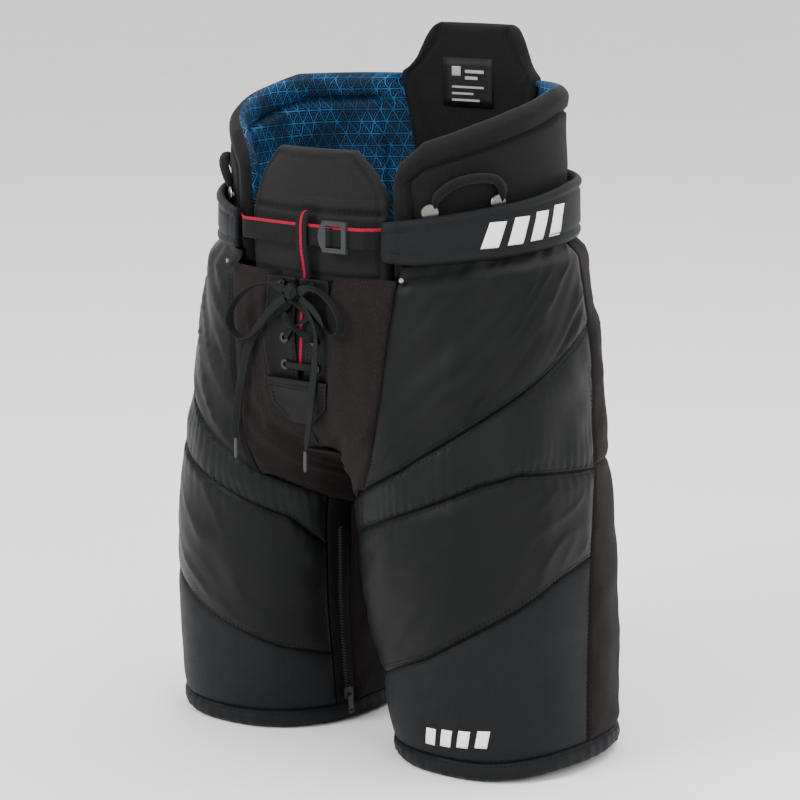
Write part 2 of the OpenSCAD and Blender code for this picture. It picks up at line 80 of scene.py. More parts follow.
def smooth(t):
    t = np.clip(t, 0, 1)
    return t * t * (3 - 2 * t)


def noise(x, y, seed=0.0):
    """Smooth value noise from -1 to 1, the same on every run."""
    xi, yi = np.floor(x), np.floor(y)
    fx, fy = smooth(x - xi), smooth(y - yi)

    def corner(i, j):
        n = np.sin((xi + i) * 127.1 + (yi + j) * 311.7 + seed * 74.7) * 43758.5453
        return n - np.floor(n)

    low = lerp(corner(0, 0), corner(1, 0), fx)
    high = lerp(corner(0, 1), corner(1, 1), fx)
    return 2 * lerp(low, high, fy) - 1


def ridges(x, y, seed=0.0):
    """Creases: sharp crests with round valleys, from 0 to 1."""
    return (1 - np.abs(noise(x, y, seed))) ** 2.2


def table(rows):
    """A smooth function through rows of (place, value)."""
    at, value = np.array(rows, float).T

    def read(x):
        return np.interp(x, at, value)

    return read


def fixed(value):
    """A line that stays at one value."""
    return lambda place: value + 0 * place


# ---------------------------------------------------------------- mesh building


def normals_of(points, wrap=False):
    """The outward normals of a grid of points whose first index goes up and second goes round."""
    if wrap:
        across = np.roll(points, -1, 1) - np.roll(points, 1, 1)
    else:
        across = np.gradient(points, axis=1)
    up = np.gradient(points, axis=0)
    n = np.cross(across, up)
    return n / np.maximum(np.linalg.norm(n, axis=-1, keepdims=True), 1e-9)


def lengths(points, axis):
    """Running length along a grid's axis."""
    step = np.linalg.norm(np.diff(points, axis=axis), axis=-1)
    start = np.zeros_like(np.take(step, [0], axis=axis))
    return np.cumsum(np.concatenate([start, step], axis=axis), axis=axis)


def mesh_object(name, points, faces, materials, uvs=None, slots=None):
    """A smooth-shaded object with a UV map, from points in metres."""
    mesh = bpy.data.meshes.new(name)
    mesh.from_pydata(points, [], faces)
    layer = mesh.uv_layers.new(name="UVMap")
    if uvs:
        layer.data.foreach_set("uv", [x for face in uvs for corner in face for x in corner])
    if slots:
        mesh.polygons.foreach_set("material_index", slots)
    mesh.validate()
    for m in materials:
        mesh.materials.append(m)
    mesh.polygons.foreach_set("use_smooth", [True] * len(mesh.polygons))
    obj = bpy.data.objects.new(name, mesh)
    bpy.context.collection.objects.link(obj)
    return obj


def shell_object(name, outer, inner, materials, wrap=False, inner_slot=0, mirror=False):
    """A closed solid between two grids, in mm, with UVs in metres along its surface."""
    h, w = outer.shape[:2]
    count = h * w
    points = np.concatenate([outer.reshape(-1, 3), inner.reshape(-1, 3)]) * MM
    u, v = lengths(outer, 1) * MM, lengths(outer, 0) * MM
    around = w if wrap else w - 1
    faces, uvs, slots = [], [], []

    def uv(j, i):
        if wrap and i == w:
            return (u[j, w - 1] + (u[j, 1] - u[j, 0]), v[j, 0])
        return (u[j, i], v[j, i])

    for j in range(h - 1):
        for i in range(around):
            k = (i + 1) % w
            a, b, c, d = j * w + i, j * w + k, (j + 1) * w + k, (j + 1) * w + i
            corners = [uv(j, i), uv(j, i + 1), uv(j + 1, i + 1), uv(j + 1, i)]
            faces.append((a, b, c, d))
            uvs.append(corners)
            slots.append(0)
            faces.append((count + d, count + c, count + b, count + a))
            uvs.append(corners[::-1])
            slots.append(inner_slot)
    for i in range(around):
        k = (i + 1) % w
        for j, flip in ((0, False), (h - 1, True)):
            a, b = j * w + i, j * w + k
            quad = [b, a, count + a, count + b]
            faces.append(tuple(quad[::-1] if flip else quad))
            uvs.append([uv(j, i)] * 4)
            slots.append(0)
    if not wrap:
        for j in range(h - 1):
            for i, flip in ((0, False), (w - 1, True)):
                a, b = j * w + i, (j + 1) * w + i
                quad = [a, b, count + b, count + a]
                faces.append(tuple(quad[::-1] if flip else quad))
                uvs.append([uv(j, i)] * 4)
                slots.append(0)
    if mirror:
        points = points * np.array([-1, 1, 1])
        faces = [f[::-1] for f in faces]
        uvs = [c[::-1] for c in uvs]
    return mesh_object(name, points.tolist(), faces, materials, uvs, slots)


def marks(length, step, fine):
    """Places from 0 to 1 along a side of that length, closer together near both ends."""
    ease = np.array([0, 0.03, 0.12, 0.28, 0.5, 0.75]) * fine / length
    ease = ease[ease < 0.45]
    inner = np.linspace(fine / length, 1 - fine / length, max(3, int(length / step)))
    inner = inner[(inner > ease[-1]) & (inner < 1 - ease[-1])]
    return np.concatenate([ease, inner, 1 - ease[::-1]])


def edge_distance(points, sides):
    """How far each grid point is from the nearest of the named edges: l, r, b, t."""
    u, v = lengths(points, 1), lengths(points, 0)
    far = np.full(points.shape[:2], 1e3)
    options = {"l": u, "r": u[:, -1:] - u, "b": v, "t": v[-1:, :] - v}
    for s in sides:
        far = np.minimum(far, options[s])
    return far


# ---------------------------------------------------------------- materials


class Nodes:
    """Short calls for building a node tree."""

    def __init__(self, name):
        self.material = bpy.data.materials.new(name)
        self.material.use_nodes = True
        self.tree = self.material.node_tree
        self.shader = self.tree.nodes["Principled BSDF"]
        self.uv = self.tree.nodes.new("ShaderNodeUVMap").outputs[0]
        self.place = self.tree.nodes.new("ShaderNodeTexCoord").outputs["Object"]

    def link(self, value, socket):
        if isinstance(value, bpy.types.NodeSocket):
            self.tree.links.new(value, socket)
        else:
            socket.default_value = value

    def math(self, op, a, b=0.0, c=0.0):
        node = self.tree.nodes.new("ShaderNodeMath")
        node.operation = op
        for value, socket in zip((a, b, c), node.inputs):
            self.link(value, socket)
        return node.outputs[0]

    def split(self, vector):
        node = self.tree.nodes.new("ShaderNodeSeparateXYZ")
        self.link(vector, node.inputs[0])
        return node.outputs[0], node.outputs[1], node.outputs[2]

    def noise(self, scale, detail=2.0, rough=0.5, vector=None):
        node = self.tree.nodes.new("ShaderNodeTexNoise")
        self.link(self.place if vector is None else vector, node.inputs["Vector"])
        node.inputs["Scale"].default_value = scale
        node.inputs["Detail"].default_value = detail
        node.inputs["Roughness"].default_value = rough
        return node.outputs["Fac"]

    def ramp(self, value, low, high, out_low=0.0, out_high=1.0):
        node = self.tree.nodes.new("ShaderNodeMapRange")
        node.interpolation_type = "SMOOTHSTEP"
        for k, x in enumerate((value, low, high, out_low, out_high)):
            self.link(x, node.inputs[k])
        return node.outputs[0]

    def mix(self, factor, a, b):
        node = self.tree.nodes.new("ShaderNodeMix")
        node.data_type = "RGBA"
        for value, socket in zip((factor, a, b), (node.inputs[0], node.inputs[6], node.inputs[7])):
            if isinstance(value, tuple):
                value = (*value, 1.0)
            self.link(value, socket)
        return node.outputs[2]

    def bump(self, height, distance, strength=1.0):
        node = self.tree.nodes.new("ShaderNodeBump")
        node.inputs["Strength"].default_value = strength
        node.inputs["Distance"].default_value = distance
        self.link(height, node.inputs["Height"])
        self.link(node.outputs[0], self.shader.inputs["Normal"])

    def wave(self, coordinate, pitch):
        """From 0 to 1 and back once in every pitch."""
        turn = self.math("MULTIPLY", coordinate, 2 * math.pi / pitch)
        return self.math("MULTIPLY_ADD", self.math("SINE", turn), 0.5, 0.5)

    def set(self, **values):
        for name, value in values.items():
            self.link(value, self.shader.inputs[name.replace("_", " ")])


def woven(name, dark, light, pitch, bump, rough, sheen=0.0, skew=0.0, cloudy=0.25, gloss=0.2):
    """Plain or diamond weave with slow changes of colour and roughness."""
    n = Nodes(name)
    x, y, _ = n.split(n.uv)
    if skew:
        a = n.math("ADD", x, n.math("MULTIPLY", y, skew))
        b = n.math("SUBTRACT", x, n.math("MULTIPLY", y, skew))
    else:
        a, b = x, y
    weave = n.math("MULTIPLY", n.wave(a, pitch), n.wave(b, pitch))
    fleck = n.noise(900, 2)
    cloud = n.noise(14, 3)
    blend = n.math("MULTIPLY_ADD", cloud, cloudy, n.math("MULTIPLY", weave, 0.6))
    n.set(Base_Color=n.mix(n.math("MULTIPLY_ADD", fleck, 0.2, blend), dark, light))
    n.set(Roughness=n.math("MULTIPLY_ADD", n.noise(60, 3), 0.12, rough - 0.06))
    n.bump(n.math("ADD", weave, n.math("MULTIPLY", fleck, 0.4)), bump)
    n.shader.inputs["Sheen Weight"].default_value = sheen
    n.shader.inputs["Sheen Roughness"].default_value = 0.45
    n.shader.inputs["Specular IOR Level"].default_value = gloss
    return n.material


def knit(name, dark, light, rib=0.0016, bump=0.0003, rough=0.8, sheen=0.02):
    """Knit cloth: fine ribs with a speckle of lighter threads."""
    n = Nodes(name)
    x, y, _ = n.split(n.uv)
    ribs = n.math("MULTIPLY", n.wave(x, rib), n.wave(y, rib * 0.8))
    speck = n.ramp(n.noise(700, 3, 0.7), 0.45, 0.72)
    cloud = n.noise(20, 4)
    n.set(Base_Color=n.mix(n.math("MULTIPLY_ADD", cloud, 0.35, n.math("MULTIPLY", speck, 0.65)), dark, light))
    n.set(Roughness=n.math("MULTIPLY_ADD", speck, 0.1, rough - 0.05))
    n.bump(n.math("ADD", ribs, n.math("MULTIPLY", speck, 0.6)), bump)
    n.shader.inputs["Sheen Weight"].default_value = sheen
    n.shader.inputs["Sheen Roughness"].default_value = 0.5
    n.shader.inputs["Specular IOR Level"].default_value = 0.1
    return n.material


def braid(name, dark, light, rib=0.00125, stitch=0.0011):
    """Flat braid: ribs along its length, crossed by small slanting stitches."""
    n = Nodes(name)
    x, y, _ = n.split(n.uv)
    ribs = n.wave(y, rib)
    slant = n.wave(n.math("MULTIPLY_ADD", y, 0.8, x), stitch)
    weave = n.math("MULTIPLY", ribs, n.math("MULTIPLY_ADD", slant, 0.4, 0.6))
    n.set(Base_Color=n.mix(weave, dark, light))
    n.set(Roughness=n.ramp(weave, 0.0, 1.0, 0.8, 0.65))
    n.bump(weave, 0.0005)
    n.shader.inputs["Specular IOR Level"].default_value = 0.15
    return n.material


def lattice(name, ground, line, pitch=0.0115):
    """Triangles printed on mesh: a net of lines and a smaller triangle inside each cell."""
    n = Nodes(name)
    x, y, _ = n.split(n.uv)
    parts = []
    for k in range(3):
        a = math.radians(90 + 120 * k)
        along = n.math("MULTIPLY_ADD", x, math.cos(a) / pitch, n.math("MULTIPLY", y, math.sin(a) / pitch))
        parts.append(n.math("FRACT", n.math("ADD", along, 40.0)))
    total = n.math("ADD", n.math("ADD", parts[0], parts[1]), parts[2])
    least = n.math("MINIMUM", n.math("MINIMUM", parts[0], parts[1]), parts[2])
    most = n.math("MAXIMUM", n.math("MAXIMUM", parts[0], parts[1]), parts[2])
    down = n.math("GREATER_THAN", total, 1.5)
    side = n.math("MULTIPLY_ADD", down, n.math("SUBTRACT", n.math("SUBTRACT", 1.0, most), least), least)
    outer = n.ramp(side, 0.035, 0.062, 1.0, 0.0)
    inner = n.ramp(n.math("ABSOLUTE", n.math("SUBTRACT", side, 0.20)), 0.012, 0.030, 1.0, 0.0)
    lines = n.math("MAXIMUM", outer, n.math("MULTIPLY", inner, 0.8))
    patch = n.ramp(n.noise(30, 2), 0.38, 0.62, 0.28, 1.0)
    grain = n.noise(1200, 2)
    lines = n.math("MULTIPLY", lines, patch)
    tint = n.math("MULTIPLY_ADD", grain, 0.04, n.math("MULTIPLY", lines, 0.85))
    n.set(Base_Color=n.mix(tint, ground, line))
    n.set(Roughness=n.ramp(lines, 0.0, 1.0, 0.75, 0.5))
    n.bump(n.math("ADD", n.math("MULTIPLY", lines, 0.6), grain), 0.0004)
    n.shader.inputs["Specular IOR Level"].default_value = 0.15
    return n.material


def webbing(name, base, stripe, middle, half, pitch=0.0016):
    """Ribbed webbing with a coloured stripe at one place across its width."""
    n = Nodes(name)
    x, y, _ = n.split(n.uv)
    ribs = n.math("MULTIPLY", n.wave(x, pitch), n.wave(n.math("MULTIPLY_ADD", x, 0.5, y), pitch * 1.4))
    inside = n.ramp(n.math("ABSOLUTE", n.math("SUBTRACT", y, middle)), half * 0.85, half, 1.0, 0.0)
    red = n.mix(n.wave(x, pitch * 1.2), stripe, tuple(c * 0.55 for c in stripe))
    dark = n.mix(ribs, tuple(c * 0.5 for c in base), tuple(c * 1.6 for c in base))
    n.set(Base_Color=n.mix(inside, dark, red))
    n.set(Roughness=n.ramp(ribs, 0.0, 1.0, 0.75, 0.62))
    n.bump(ribs, 0.0004)
    n.shader.inputs["Specular IOR Level"].default_value = 0.15
    return n.material


def moulded(name, base, rough=0.5, metal=0.0, grain=0.00008, scale=900, gloss=0.5):
    """Plastic or metal with a fine grain and faint wear."""
    n = Nodes(name)
    speck = n.noise(scale, 4, 0.6)
    cloud = n.noise(30, 3)
    n.set(Base_Color=n.mix(cloud, tuple(c * 0.85 for c in base), tuple(min(c * 1.2, 1) for c in base)))
    n.set(Roughness=n.math("MULTIPLY_ADD", speck, 0.15, rough - 0.07))
    n.bump(speck, grain)
    n.shader.inputs["Metallic"].default_value = metal
    n.shader.inputs["Specular IOR Level"].default_value = gloss
    return n.material


NYLON = woven("nylon", (0.0015, 0.0017, 0.0019), (0.0050, 0.0054, 0.0060), 0.0009, 0.00010, 0.39, gloss=0.12)
NYLON_GATHER = woven("nylon_gather", (0.0015, 0.0018, 0.0020), (0.0050, 0.0056, 0.0060), 0.0009, 0.0001,
                     0.38, gloss=0.135)
NYLON_SHINE = woven("nylon_shine", (0.0014, 0.0015, 0.0017), (0.0050, 0.0054, 0.0060), 0.0009, 0.0001,
                    0.36, gloss=0.11)
DIAMOND = woven("diamond_mesh", (0.0015, 0.0019, 0.0025), (0.0080, 0.0092, 0.0110), 0.0021, 0.0003, 0.55,
                0.0, 0.8, gloss=0.14)
BAND_MESH = woven("band_mesh", (0.0018, 0.0021, 0.0027), (0.0095, 0.0104, 0.0125), 0.0024, 0.0005, 0.5,
                  0.0, 0.7, gloss=0.14)
KNIT = knit("stretch_knit", (0.0030, 0.0021, 0.0020), (0.0200, 0.0135, 0.0122))
PAD = knit("pad_cover", (0.0030, 0.0031, 0.0034), (0.0100, 0.0102, 0.0108), 0.0011, 0.00018, 0.72, 0.02)
PAD_GREY = knit("belly_cover", (0.0060, 0.0061, 0.0064), (0.0150, 0.0152, 0.0158), 0.0011, 0.00015, 0.7, 0.03)
DARK_LINER = knit("dark_liner", (0.0012, 0.0012, 0.0012), (0.0045, 0.0045, 0.0048), 0.0011, 0.00015, 0.85,
                  0.0)
BLUE = lattice("blue_liner", (0.0020, 0.0045, 0.0085), (0.012, 0.130, 0.34))
THREAD = knit("thread", (0.0018, 0.0018, 0.0018), (0.0060, 0.0060, 0.0060), 0.0008, 0.0001, 0.6, 0.0)
RED = (0.34, 0.0008, 0.024)
BELT_CLOTH = webbing("belt_webbing", (0.0045, 0.0045, 0.0045), RED, 0.0177, 0.0014)
STRAP_CLOTH = webbing("strap_webbing", (0.0045, 0.0045, 0.0045), RED, 0.0060, 0.0014)
LACE = braid("lace", (0.0016, 0.0024, 0.0020), (0.0130, 0.0165, 0.0145))
GREY_PLASTIC = moulded("grey_plastic", (0.022, 0.024, 0.026), 0.5, gloss=0.2)
AGLET = moulded("aglet_plastic", (0.030, 0.033, 0.036), 0.4, gloss=0.25)
CHROME = moulded("chrome", (0.20, 0.192, 0.18), 0.26, 1.0, 0.00003)
RIVET = moulded("rivet", (0.26, 0.24, 0.21), 0.4, 0.8, 0.00004)
GUNMETAL = moulded("gunmetal", (0.042, 0.042, 0.044), 0.34, 1.0, 0.00003)
ZIP_METAL = moulded("zip_metal", (0.05, 0.05, 0.053), 0.42, 0.8, 0.00005)
WHITE_PRINT = moulded("white_print", (0.80, 0.80, 0.80), 0.55, 0.0, 0.00005, 1500)
LOOP_CLOTH = knit("loop_cloth", (0.0018, 0.0024, 0.0020), (0.0100, 0.0120, 0.0105), 0.0014, 0.0004, 0.8, 0.05)
THREAD_DARK = knit("thread_dark", (0.0022, 0.0022, 0.0024), (0.0090, 0.0090, 0.0095), 0.0008, 0.0001,
                   0.55, 0.0)
THREAD_RUST = knit("thread_rust", (0.020, 0.008, 0.007), (0.070, 0.028, 0.022), 0.0008, 0.0001, 0.6, 0.0)
LABEL = woven("label_cloth", (0.002, 0.002, 0.002), (0.007, 0.007, 0.007), 0.0007, 0.00008, 0.5)
LABEL_INK = moulded("label_ink", (0.26, 0.27, 0.26), 0.6, 0.0, 0.00003, 1500)

# ---------------------------------------------------------------- riding on the frame


def carry(obj, body_name, *nodes, slot=None):
    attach(obj, body_name)
    if nodes:
        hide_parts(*nodes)
    return obj


# ---------------------------------------------------------------- ribbons, tubes and webbing


def spline(points, per=6):
    """A smooth line through the points."""
    p = np.array(points, float)
    p = np.concatenate([[2 * p[0] - p[1]], p, [2 * p[-1] - p[-2]]])
    out = []
    for k in range(1, len(p) - 2):
        for t in np.linspace(0, 1, per, endpoint=False):
            out.append(0.5 * (2 * p[k] + (p[k + 1] - p[k - 1]) * t
                              + (2 * p[k - 1] - 5 * p[k] + 4 * p[k + 1] - p[k + 2]) * t * t
                              + (3 * p[k] - p[k - 1] - 3 * p[k + 1] + p[k + 2]) * t**3))
    out.append(p[-2])
    return np.array(out)


def sweep(name, line, width, thick, front, materials, turn=None, power=2.6, sides=14, relief=None, ends=None):
    """A closed strip along a line: front is the direction its face looks in, turn its twist in degrees."""
    tangent = np.gradient(line, axis=0)
    tangent /= np.linalg.norm(tangent, axis=1, keepdims=True)
    front = np.broadcast_to(np.array(front, float), line.shape)
    across = np.cross(tangent, front)
    across /= np.linalg.norm(across, axis=1, keepdims=True)
    out = np.cross(across, tangent)
    if turn is not None:
        a = np.radians(turn)[:, None]
        across, out = across * np.cos(a) + out * np.sin(a), out * np.cos(a) - across * np.sin(a)
    s = lengths(line, 0)
    angle = np.linspace(0, 2 * math.pi, sides, endpoint=False)
    c, d = np.cos(angle), np.sin(angle)
    c, d = np.sign(c) * np.abs(c) ** (2 / power), np.sign(d) * np.abs(d) ** (2 / power)
    scale = np.ones(len(line)) if ends is None else ends(s, s[-1])
    rows = []
    for k in range(len(line)):
        bulge = 1 + (relief(s[k], angle) if relief else 0)
        rows.append(line[k] + across[k] * (width / 2 * scale[k] * c * bulge)[:, None]
                    + out[k] * (thick / 2 * scale[k] * d * bulge)[:, None])
    rows = np.array(rows)
    count = len(line)
    verts = np.concatenate([rows.reshape(-1, 3), [line[0]], [line[-1]]]) * MM
    faces, uvs = [], []
    girth = np.concatenate([[0], np.cumsum(np.hypot(np.diff(np.append(c, c[0]) * width / 2),
                                                    np.diff(np.append(d, d[0]) * thick / 2)))]) * MM
    for k in range(count - 1):
        for i in range(sides):
            j = (i + 1) % sides
            faces.append((k * sides + i, k * sides + j, (k + 1) * sides + j, (k + 1) * sides + i))
            uvs.append([(s[k] * MM, girth[i]), (s[k] * MM, girth[i + 1]), (s[k + 1] * MM, girth[i + 1]),
                        (s[k + 1] * MM, girth[i])])
    for i in range(sides):
        j = (i + 1) % sides
        faces.append((count * sides, j, i))
        faces.append((count * sides + 1, (count - 1) * sides + i, (count - 1) * sides + j))
        uvs += [[(0, girth[i])] * 3, [(s[-1] * MM, girth[i])] * 3]
    return mesh_object(name, verts.tolist(), faces, materials, uvs)


def strap(name, line, width, thick, face, materials, relief=None):
    """Flat webbing along a line, given as its lower or left edge: UVs run along it and across it."""
    tangent = np.gradient(line, axis=0)
    tangent /= np.linalg.norm(tangent, axis=1, keepdims=True)
    across = np.array(face, float)
    v = np.array([0, 0.06, 0.16, 0.3, 0.5, 0.7, 0.84, 0.94, 1])
    n = np.cross(tangent, across)
    n /= np.linalg.norm(n, axis=1, keepdims=True)
    edge = np.array([0.35, 0.8, 1, 1, 1, 1, 1, 0.8, 0.35]) * thick / 2
    grid = line[None, :, :] + (across * width)[None, None, :] * v[:, None, None]
    if relief is not None:
        s = lengths(line, 0)
        grid = grid + n[None] * relief(s[None, :] + 0 * v[:, None], v[:, None] + 0 * s[None, :])[..., None]
    out = n[None] * edge[:, None, None]
    return shell_object(name, grid + out, grid - out, materials)


# ---------------------------------------------------------------- laces
LACE_W, LACE_T = 8.0, 1.7   # mm
KNOT = (-2, -146, 420)      # mm
FORWARD = (0, -1, 0)
# The routes of the free stretches, in metres, as in the CAD source
LOOP_LEFT = [
    (0.006, -0.146, 0.421), (0.017, -0.147, 0.425), (0.029, -0.148, 0.424), (0.04, -0.148, 0.418),
    (0.048, -0.147, 0.409), (0.052, -0.146, 0.399), (0.049, -0.144, 0.39), (0.041, -0.143, 0.386),
    (0.033, -0.142, 0.39), (0.026, -0.142, 0.398), (0.018, -0.143, 0.407), (0.007, -0.145, 0.415),
]
LOOP_RIGHT = [
    (-0.01, -0.146, 0.421), (-0.022, -0.148, 0.425), (-0.036, -0.149, 0.424), (-0.05, -0.149, 0.418),
    (-0.062, -0.148, 0.409), (-0.071, -0.147, 0.398), (-0.075, -0.145, 0.387), (-0.071, -0.143, 0.377),
    (-0.062, -0.142, 0.373), (-0.052, -0.142, 0.378), (-0.042, -0.142, 0.388), (-0.031, -0.143, 0.399),
    (-0.02, -0.144, 0.408), (-0.01, -0.145, 0.414),
]
TAIL_LEFT = [
    (0.001, -0.141, 0.412), (0.009, -0.1395, 0.403), (0.016, -0.139, 0.393), (0.019, -0.139, 0.382),
    (0.019, -0.1395, 0.368), (0.018, -0.14, 0.352), (0.016, -0.1405, 0.334), (0.014, -0.141, 0.316),
    (0.012, -0.1415, 0.298), (0.009, -0.142, 0.279),
]
TAIL_RIGHT = [
    (-0.007, -0.141, 0.412), (-0.016, -0.1395, 0.405), (-0.028, -0.1385, 0.398), (-0.04, -0.1385, 0.39),
    (-0.05, -0.1385, 0.379), (-0.057, -0.139, 0.366), (-0.062, -0.1395, 0.35), (-0.066, -0.14, 0.332),
    (-0.069, -0.1405, 0.315), (-0.071, -0.141, 0.298), (-0.071, -0.142, 0.281),
]


def smooth_route(points):
    """The same route with a point added halfway along each span, on a smooth curve."""
    p = np.array(points, float)
    out = []
    for k in range(len(p) - 1):
        out += [p[k], (9 * p[k] + 9 * p[k + 1] - p[max(k - 1, 0)] - p[min(k + 2, len(p) - 1)]) / 16]
    return np.array(out + [p[-1]])


def lace_end(taper):
    """The lace keeps its width, and narrows only where it goes into its aglet."""
    return lambda s, total: 1 - 0.58 * smooth((s - (total - taper)) / taper) if taper else np.ones_like(s)


def ribs(s, angle):
    return 0.05 * np.cos(angle * 5) + 0.02 * math.sin(s * 1.7)


def lace(name, points, node, twist, aglet=None):
    line = spline(smooth_route(np.array(points) / MM), 3)
    u = np.linspace(0, 1, len(line))
    obj = sweep(name, line, LACE_W, LACE_T, FORWARD, [LACE], turn=twist(u), sides=16, relief=ribs,
                ends=lace_end(9 if aglet else 0))
    carry(obj, "hips", node, slot="lace")
    if aglet:
        down = [line[-1] + (0, 0, 1.5), line[-1] - (0, 0, 8), line[-1] - (0, 0, 16.8)]
        tip = sweep(aglet + "_tip", spline(down, 5), 3.6, 2.6, FORWARD, [AGLET], sides=16, power=2.2,
                    ends=lambda s, total: 1 - 0.3 * np.exp(-((total - s) / 0.8)) - 0.15 * np.exp(-s / 0.6))
        carry(tip, "hips", aglet, slot="aglet_plastic")


def loop_twist(most, rise, share, fall):
    """Twist in degrees along a loop: up to most, and down by that share of it further on."""
    return lambda u: most * smooth(u / rise) * (1 - share * smooth((u - fall) / 0.2))


lace("lace_loop_left_cloth", LOOP_LEFT, "lace_loop_left", loop_twist(82, 0.16, 0.75, 0.66))
lace("lace_loop_right_cloth", LOOP_RIGHT, "lace_loop_right", loop_twist(80, 0.14, 0.8, 0.60))
lace("lace_tail_left_cloth", TAIL_LEFT, "lace_tail_left",
     lambda u: -18 * smooth(u * 4) - 14 * np.sin(u * 7), "aglet_left")
lace("lace_tail_right_cloth", TAIL_RIGHT, "lace_tail_right",
     lambda u: 22 + 12 * np.sin(u * 7.0 + 1), "aglet_right")


def lace_knot():
    """The knot: a band wrapped round the crossing of the bow."""
    x, y, z = KNOT
    across = [(x - 7, y + 1.5, z - 2), (x - 3, y - 0.5, z + 1), (x + 2, y - 0.8, z), (x + 7, y + 1.5, z - 1)]
    core = sweep("lace_knot_cloth", spline(across, 8), 11.5, 7.4, FORWARD, [LACE],
                 sides=18, power=2.1, relief=lambda s, a: 0.10 * np.sin(a * 3 + s * 0.5),
                 ends=lambda s, total: np.sqrt(np.clip(1 - (2 * s / total - 1) ** 2, 0.12, 1)))
    carry(core, "hips", "lace_knot", slot="lace")
    over = [(x + 1, y + 2.5, z + 6.3), (x + 0.5, y - 2.2, z + 5.0), (x - 0.4, y - 4.3, z + 0.4),
            (x - 1.2, y - 2.4, z - 4.6), (x - 1.6, y + 2.5, z - 6.2)]
    wrap = sweep("lace_knot_wrap", spline(over, 8), 7.2, 1.8, FORWARD, [LACE], sides=16, relief=ribs)
    carry(wrap, "hips", slot="lace")


lace_knot()

# ---------------------------------------------------------------- the body's surface
# Height, sideways centre, half width, fore-and-aft centre, half depth, in mm: one leg's sections
SECTIONS = np.array([
    (0, 127, 91, 0, 102), (90, 119, 92, -4, 112), (150, 111, 96, -7, 121), (255, 99, 97.5, -6, 126),
    (300, 80, 109, -3, 128), (360, 55, 130, 0, 130), (420, 25, 150, 0, 132), (460, 5, 162, 0, 134),
], float)
MERGE = table([(230, 6), (250, 10), (265, 34), (300, 80), (340, 70), (380, 45), (430, 12), (470, 1)])
LEG_N, RING_N = 2.3, 2.2
WAIST = np.array([(430, 150, 126), (470, 152, 129), (520, 156, 132), (640, 154, 130)], float)
BAND = np.array([(400, 168, 144), (600, 168, 144)], float)
BELLY = np.array([(430, 141, 125), (487, 142, 128), (500, 139, 123), (542, 136, 118)], float)
FINE_Z = np.arange(-80, 740, 2.0)


def softened(rows, column, reach=14):
    """A column of a section table, read at any height without kinks."""
    raw = np.interp(FINE_Z, rows[:, 0], rows[:, column])
    span = np.arange(-3 * reach, 3 * reach + 1, 2.0)
    kernel = np.exp(-0.5 * (span / reach) ** 2)
    padded = np.pad(raw, len(span) // 2, mode="edge")
    fine = np.convolve(padded, kernel / kernel.sum(), mode="valid")
    return lambda z: np.interp(z, FINE_Z, fine)


LEG = [softened(SECTIONS, k) for k in (1, 2, 3, 4)]


def side_distance(x, y, z):
    cx, ax, cy, ay = (f(z) for f in LEG)
    dx, dy = np.abs(x - cx) / ax, np.abs(y - cy) / ay
    g = np.maximum((dx**LEG_N + dy**LEG_N) ** (1 / LEG_N), 1e-6)
    slope = np.hypot(dx ** (LEG_N - 1) / ax, dy ** (LEG_N - 1) / ay) * g ** (1 - LEG_N)
    return (g - 1) / np.maximum(slope, 1e-6)


def distance(x, y, z):
    """How far a point is outside the body: both legs, merged softly above the crotch."""
    a, b, k = side_distance(x, y, z), side_distance(-x, y, z), MERGE(z)
    h = np.maximum(k - np.abs(a - b), 0) / k
    return np.minimum(a, b) - h * h * k / 4


def body(theta, z, off=0.0):
    """Points in mm on the left half of the body: theta in degrees from the front, outward first."""
    theta, z, off = np.broadcast_arrays(np.asarray(theta, float), np.asarray(z, float), off)
    t = np.radians(theta)
    cx, ax, cy, ay = (f(z) for f in LEG)
    sx, sy = ax * np.sin(t), -ay * np.cos(t)
    high = np.where(sx < -1e-6, np.minimum(cx / np.maximum(-sx, 1e-6), 1.6), 1.6)
    low = np.full(theta.shape, 0.2)
    for _ in range(26):
        mid = (low + high) / 2
        inside = distance(cx + mid * sx, cy + mid * sy, z) < off
        low, high = np.where(inside, mid, low), np.where(inside, high, mid)
    return np.stack([cx + low * sx, cy + low * sy, z], axis=-1)


def ring(rows, theta, z, off=0.0):
    """Points in mm on a waist ring."""
    t = np.radians(theta)
    r = (np.abs(np.sin(t)) ** RING_N + np.abs(np.cos(t)) ** RING_N) ** (-1 / RING_N)
    ax, ay = np.interp(z, rows[:, 0], rows[:, 1]), np.interp(z, rows[:, 0], rows[:, 2])
    x, y, z = np.broadcast_arrays((ax + off) * np.sin(t) * r, -(ay + off) * np.cos(t) * r, z)
    return np.stack([x, y, z], axis=-1)


def centre_line():
    """The body's outline at x = 0, from the front at the waist, under the crotch, to the back."""
    front, back, middle = [], [], 345.0
    for z in np.arange(456, middle, -6.0):
        ys = np.linspace(-60, -150, 400)
        front.append((ys[np.argmax(distance(0 * ys, ys, z + 0 * ys) > 0)], z))
        back.append((-ys[np.argmax(distance(0 * ys, -ys, z + 0 * ys) > 0)], z))
    under = []
    for a in np.radians(np.arange(0, 180.1, 2.0)):
        r = np.linspace(20, 200, 1200)
        y, z = -r * np.cos(a), middle - r * np.sin(a)
        k = np.argmax(distance(0 * y, y, z) > 0)
        under.append((y[k], z[k]))
    points = np.array(front + under + back[::-1])
    cx, ax, cy, ay = (f(points[:, 1]) for f in LEG)
    theta = np.degrees(np.arctan2(-cx / ax, -(points[:, 0] - cy) / ay))
    return np.where(theta > 0, theta - 360, theta), points[:, 1]


CENTRE_T, CENTRE_Z = centre_line()
LOWEST = int(np.argmin(np.abs(CENTRE_T + 90)))


def centre_back(z):
    return 360 + np.interp(z, CENTRE_Z[LOWEST:], CENTRE_T[LOWEST:])


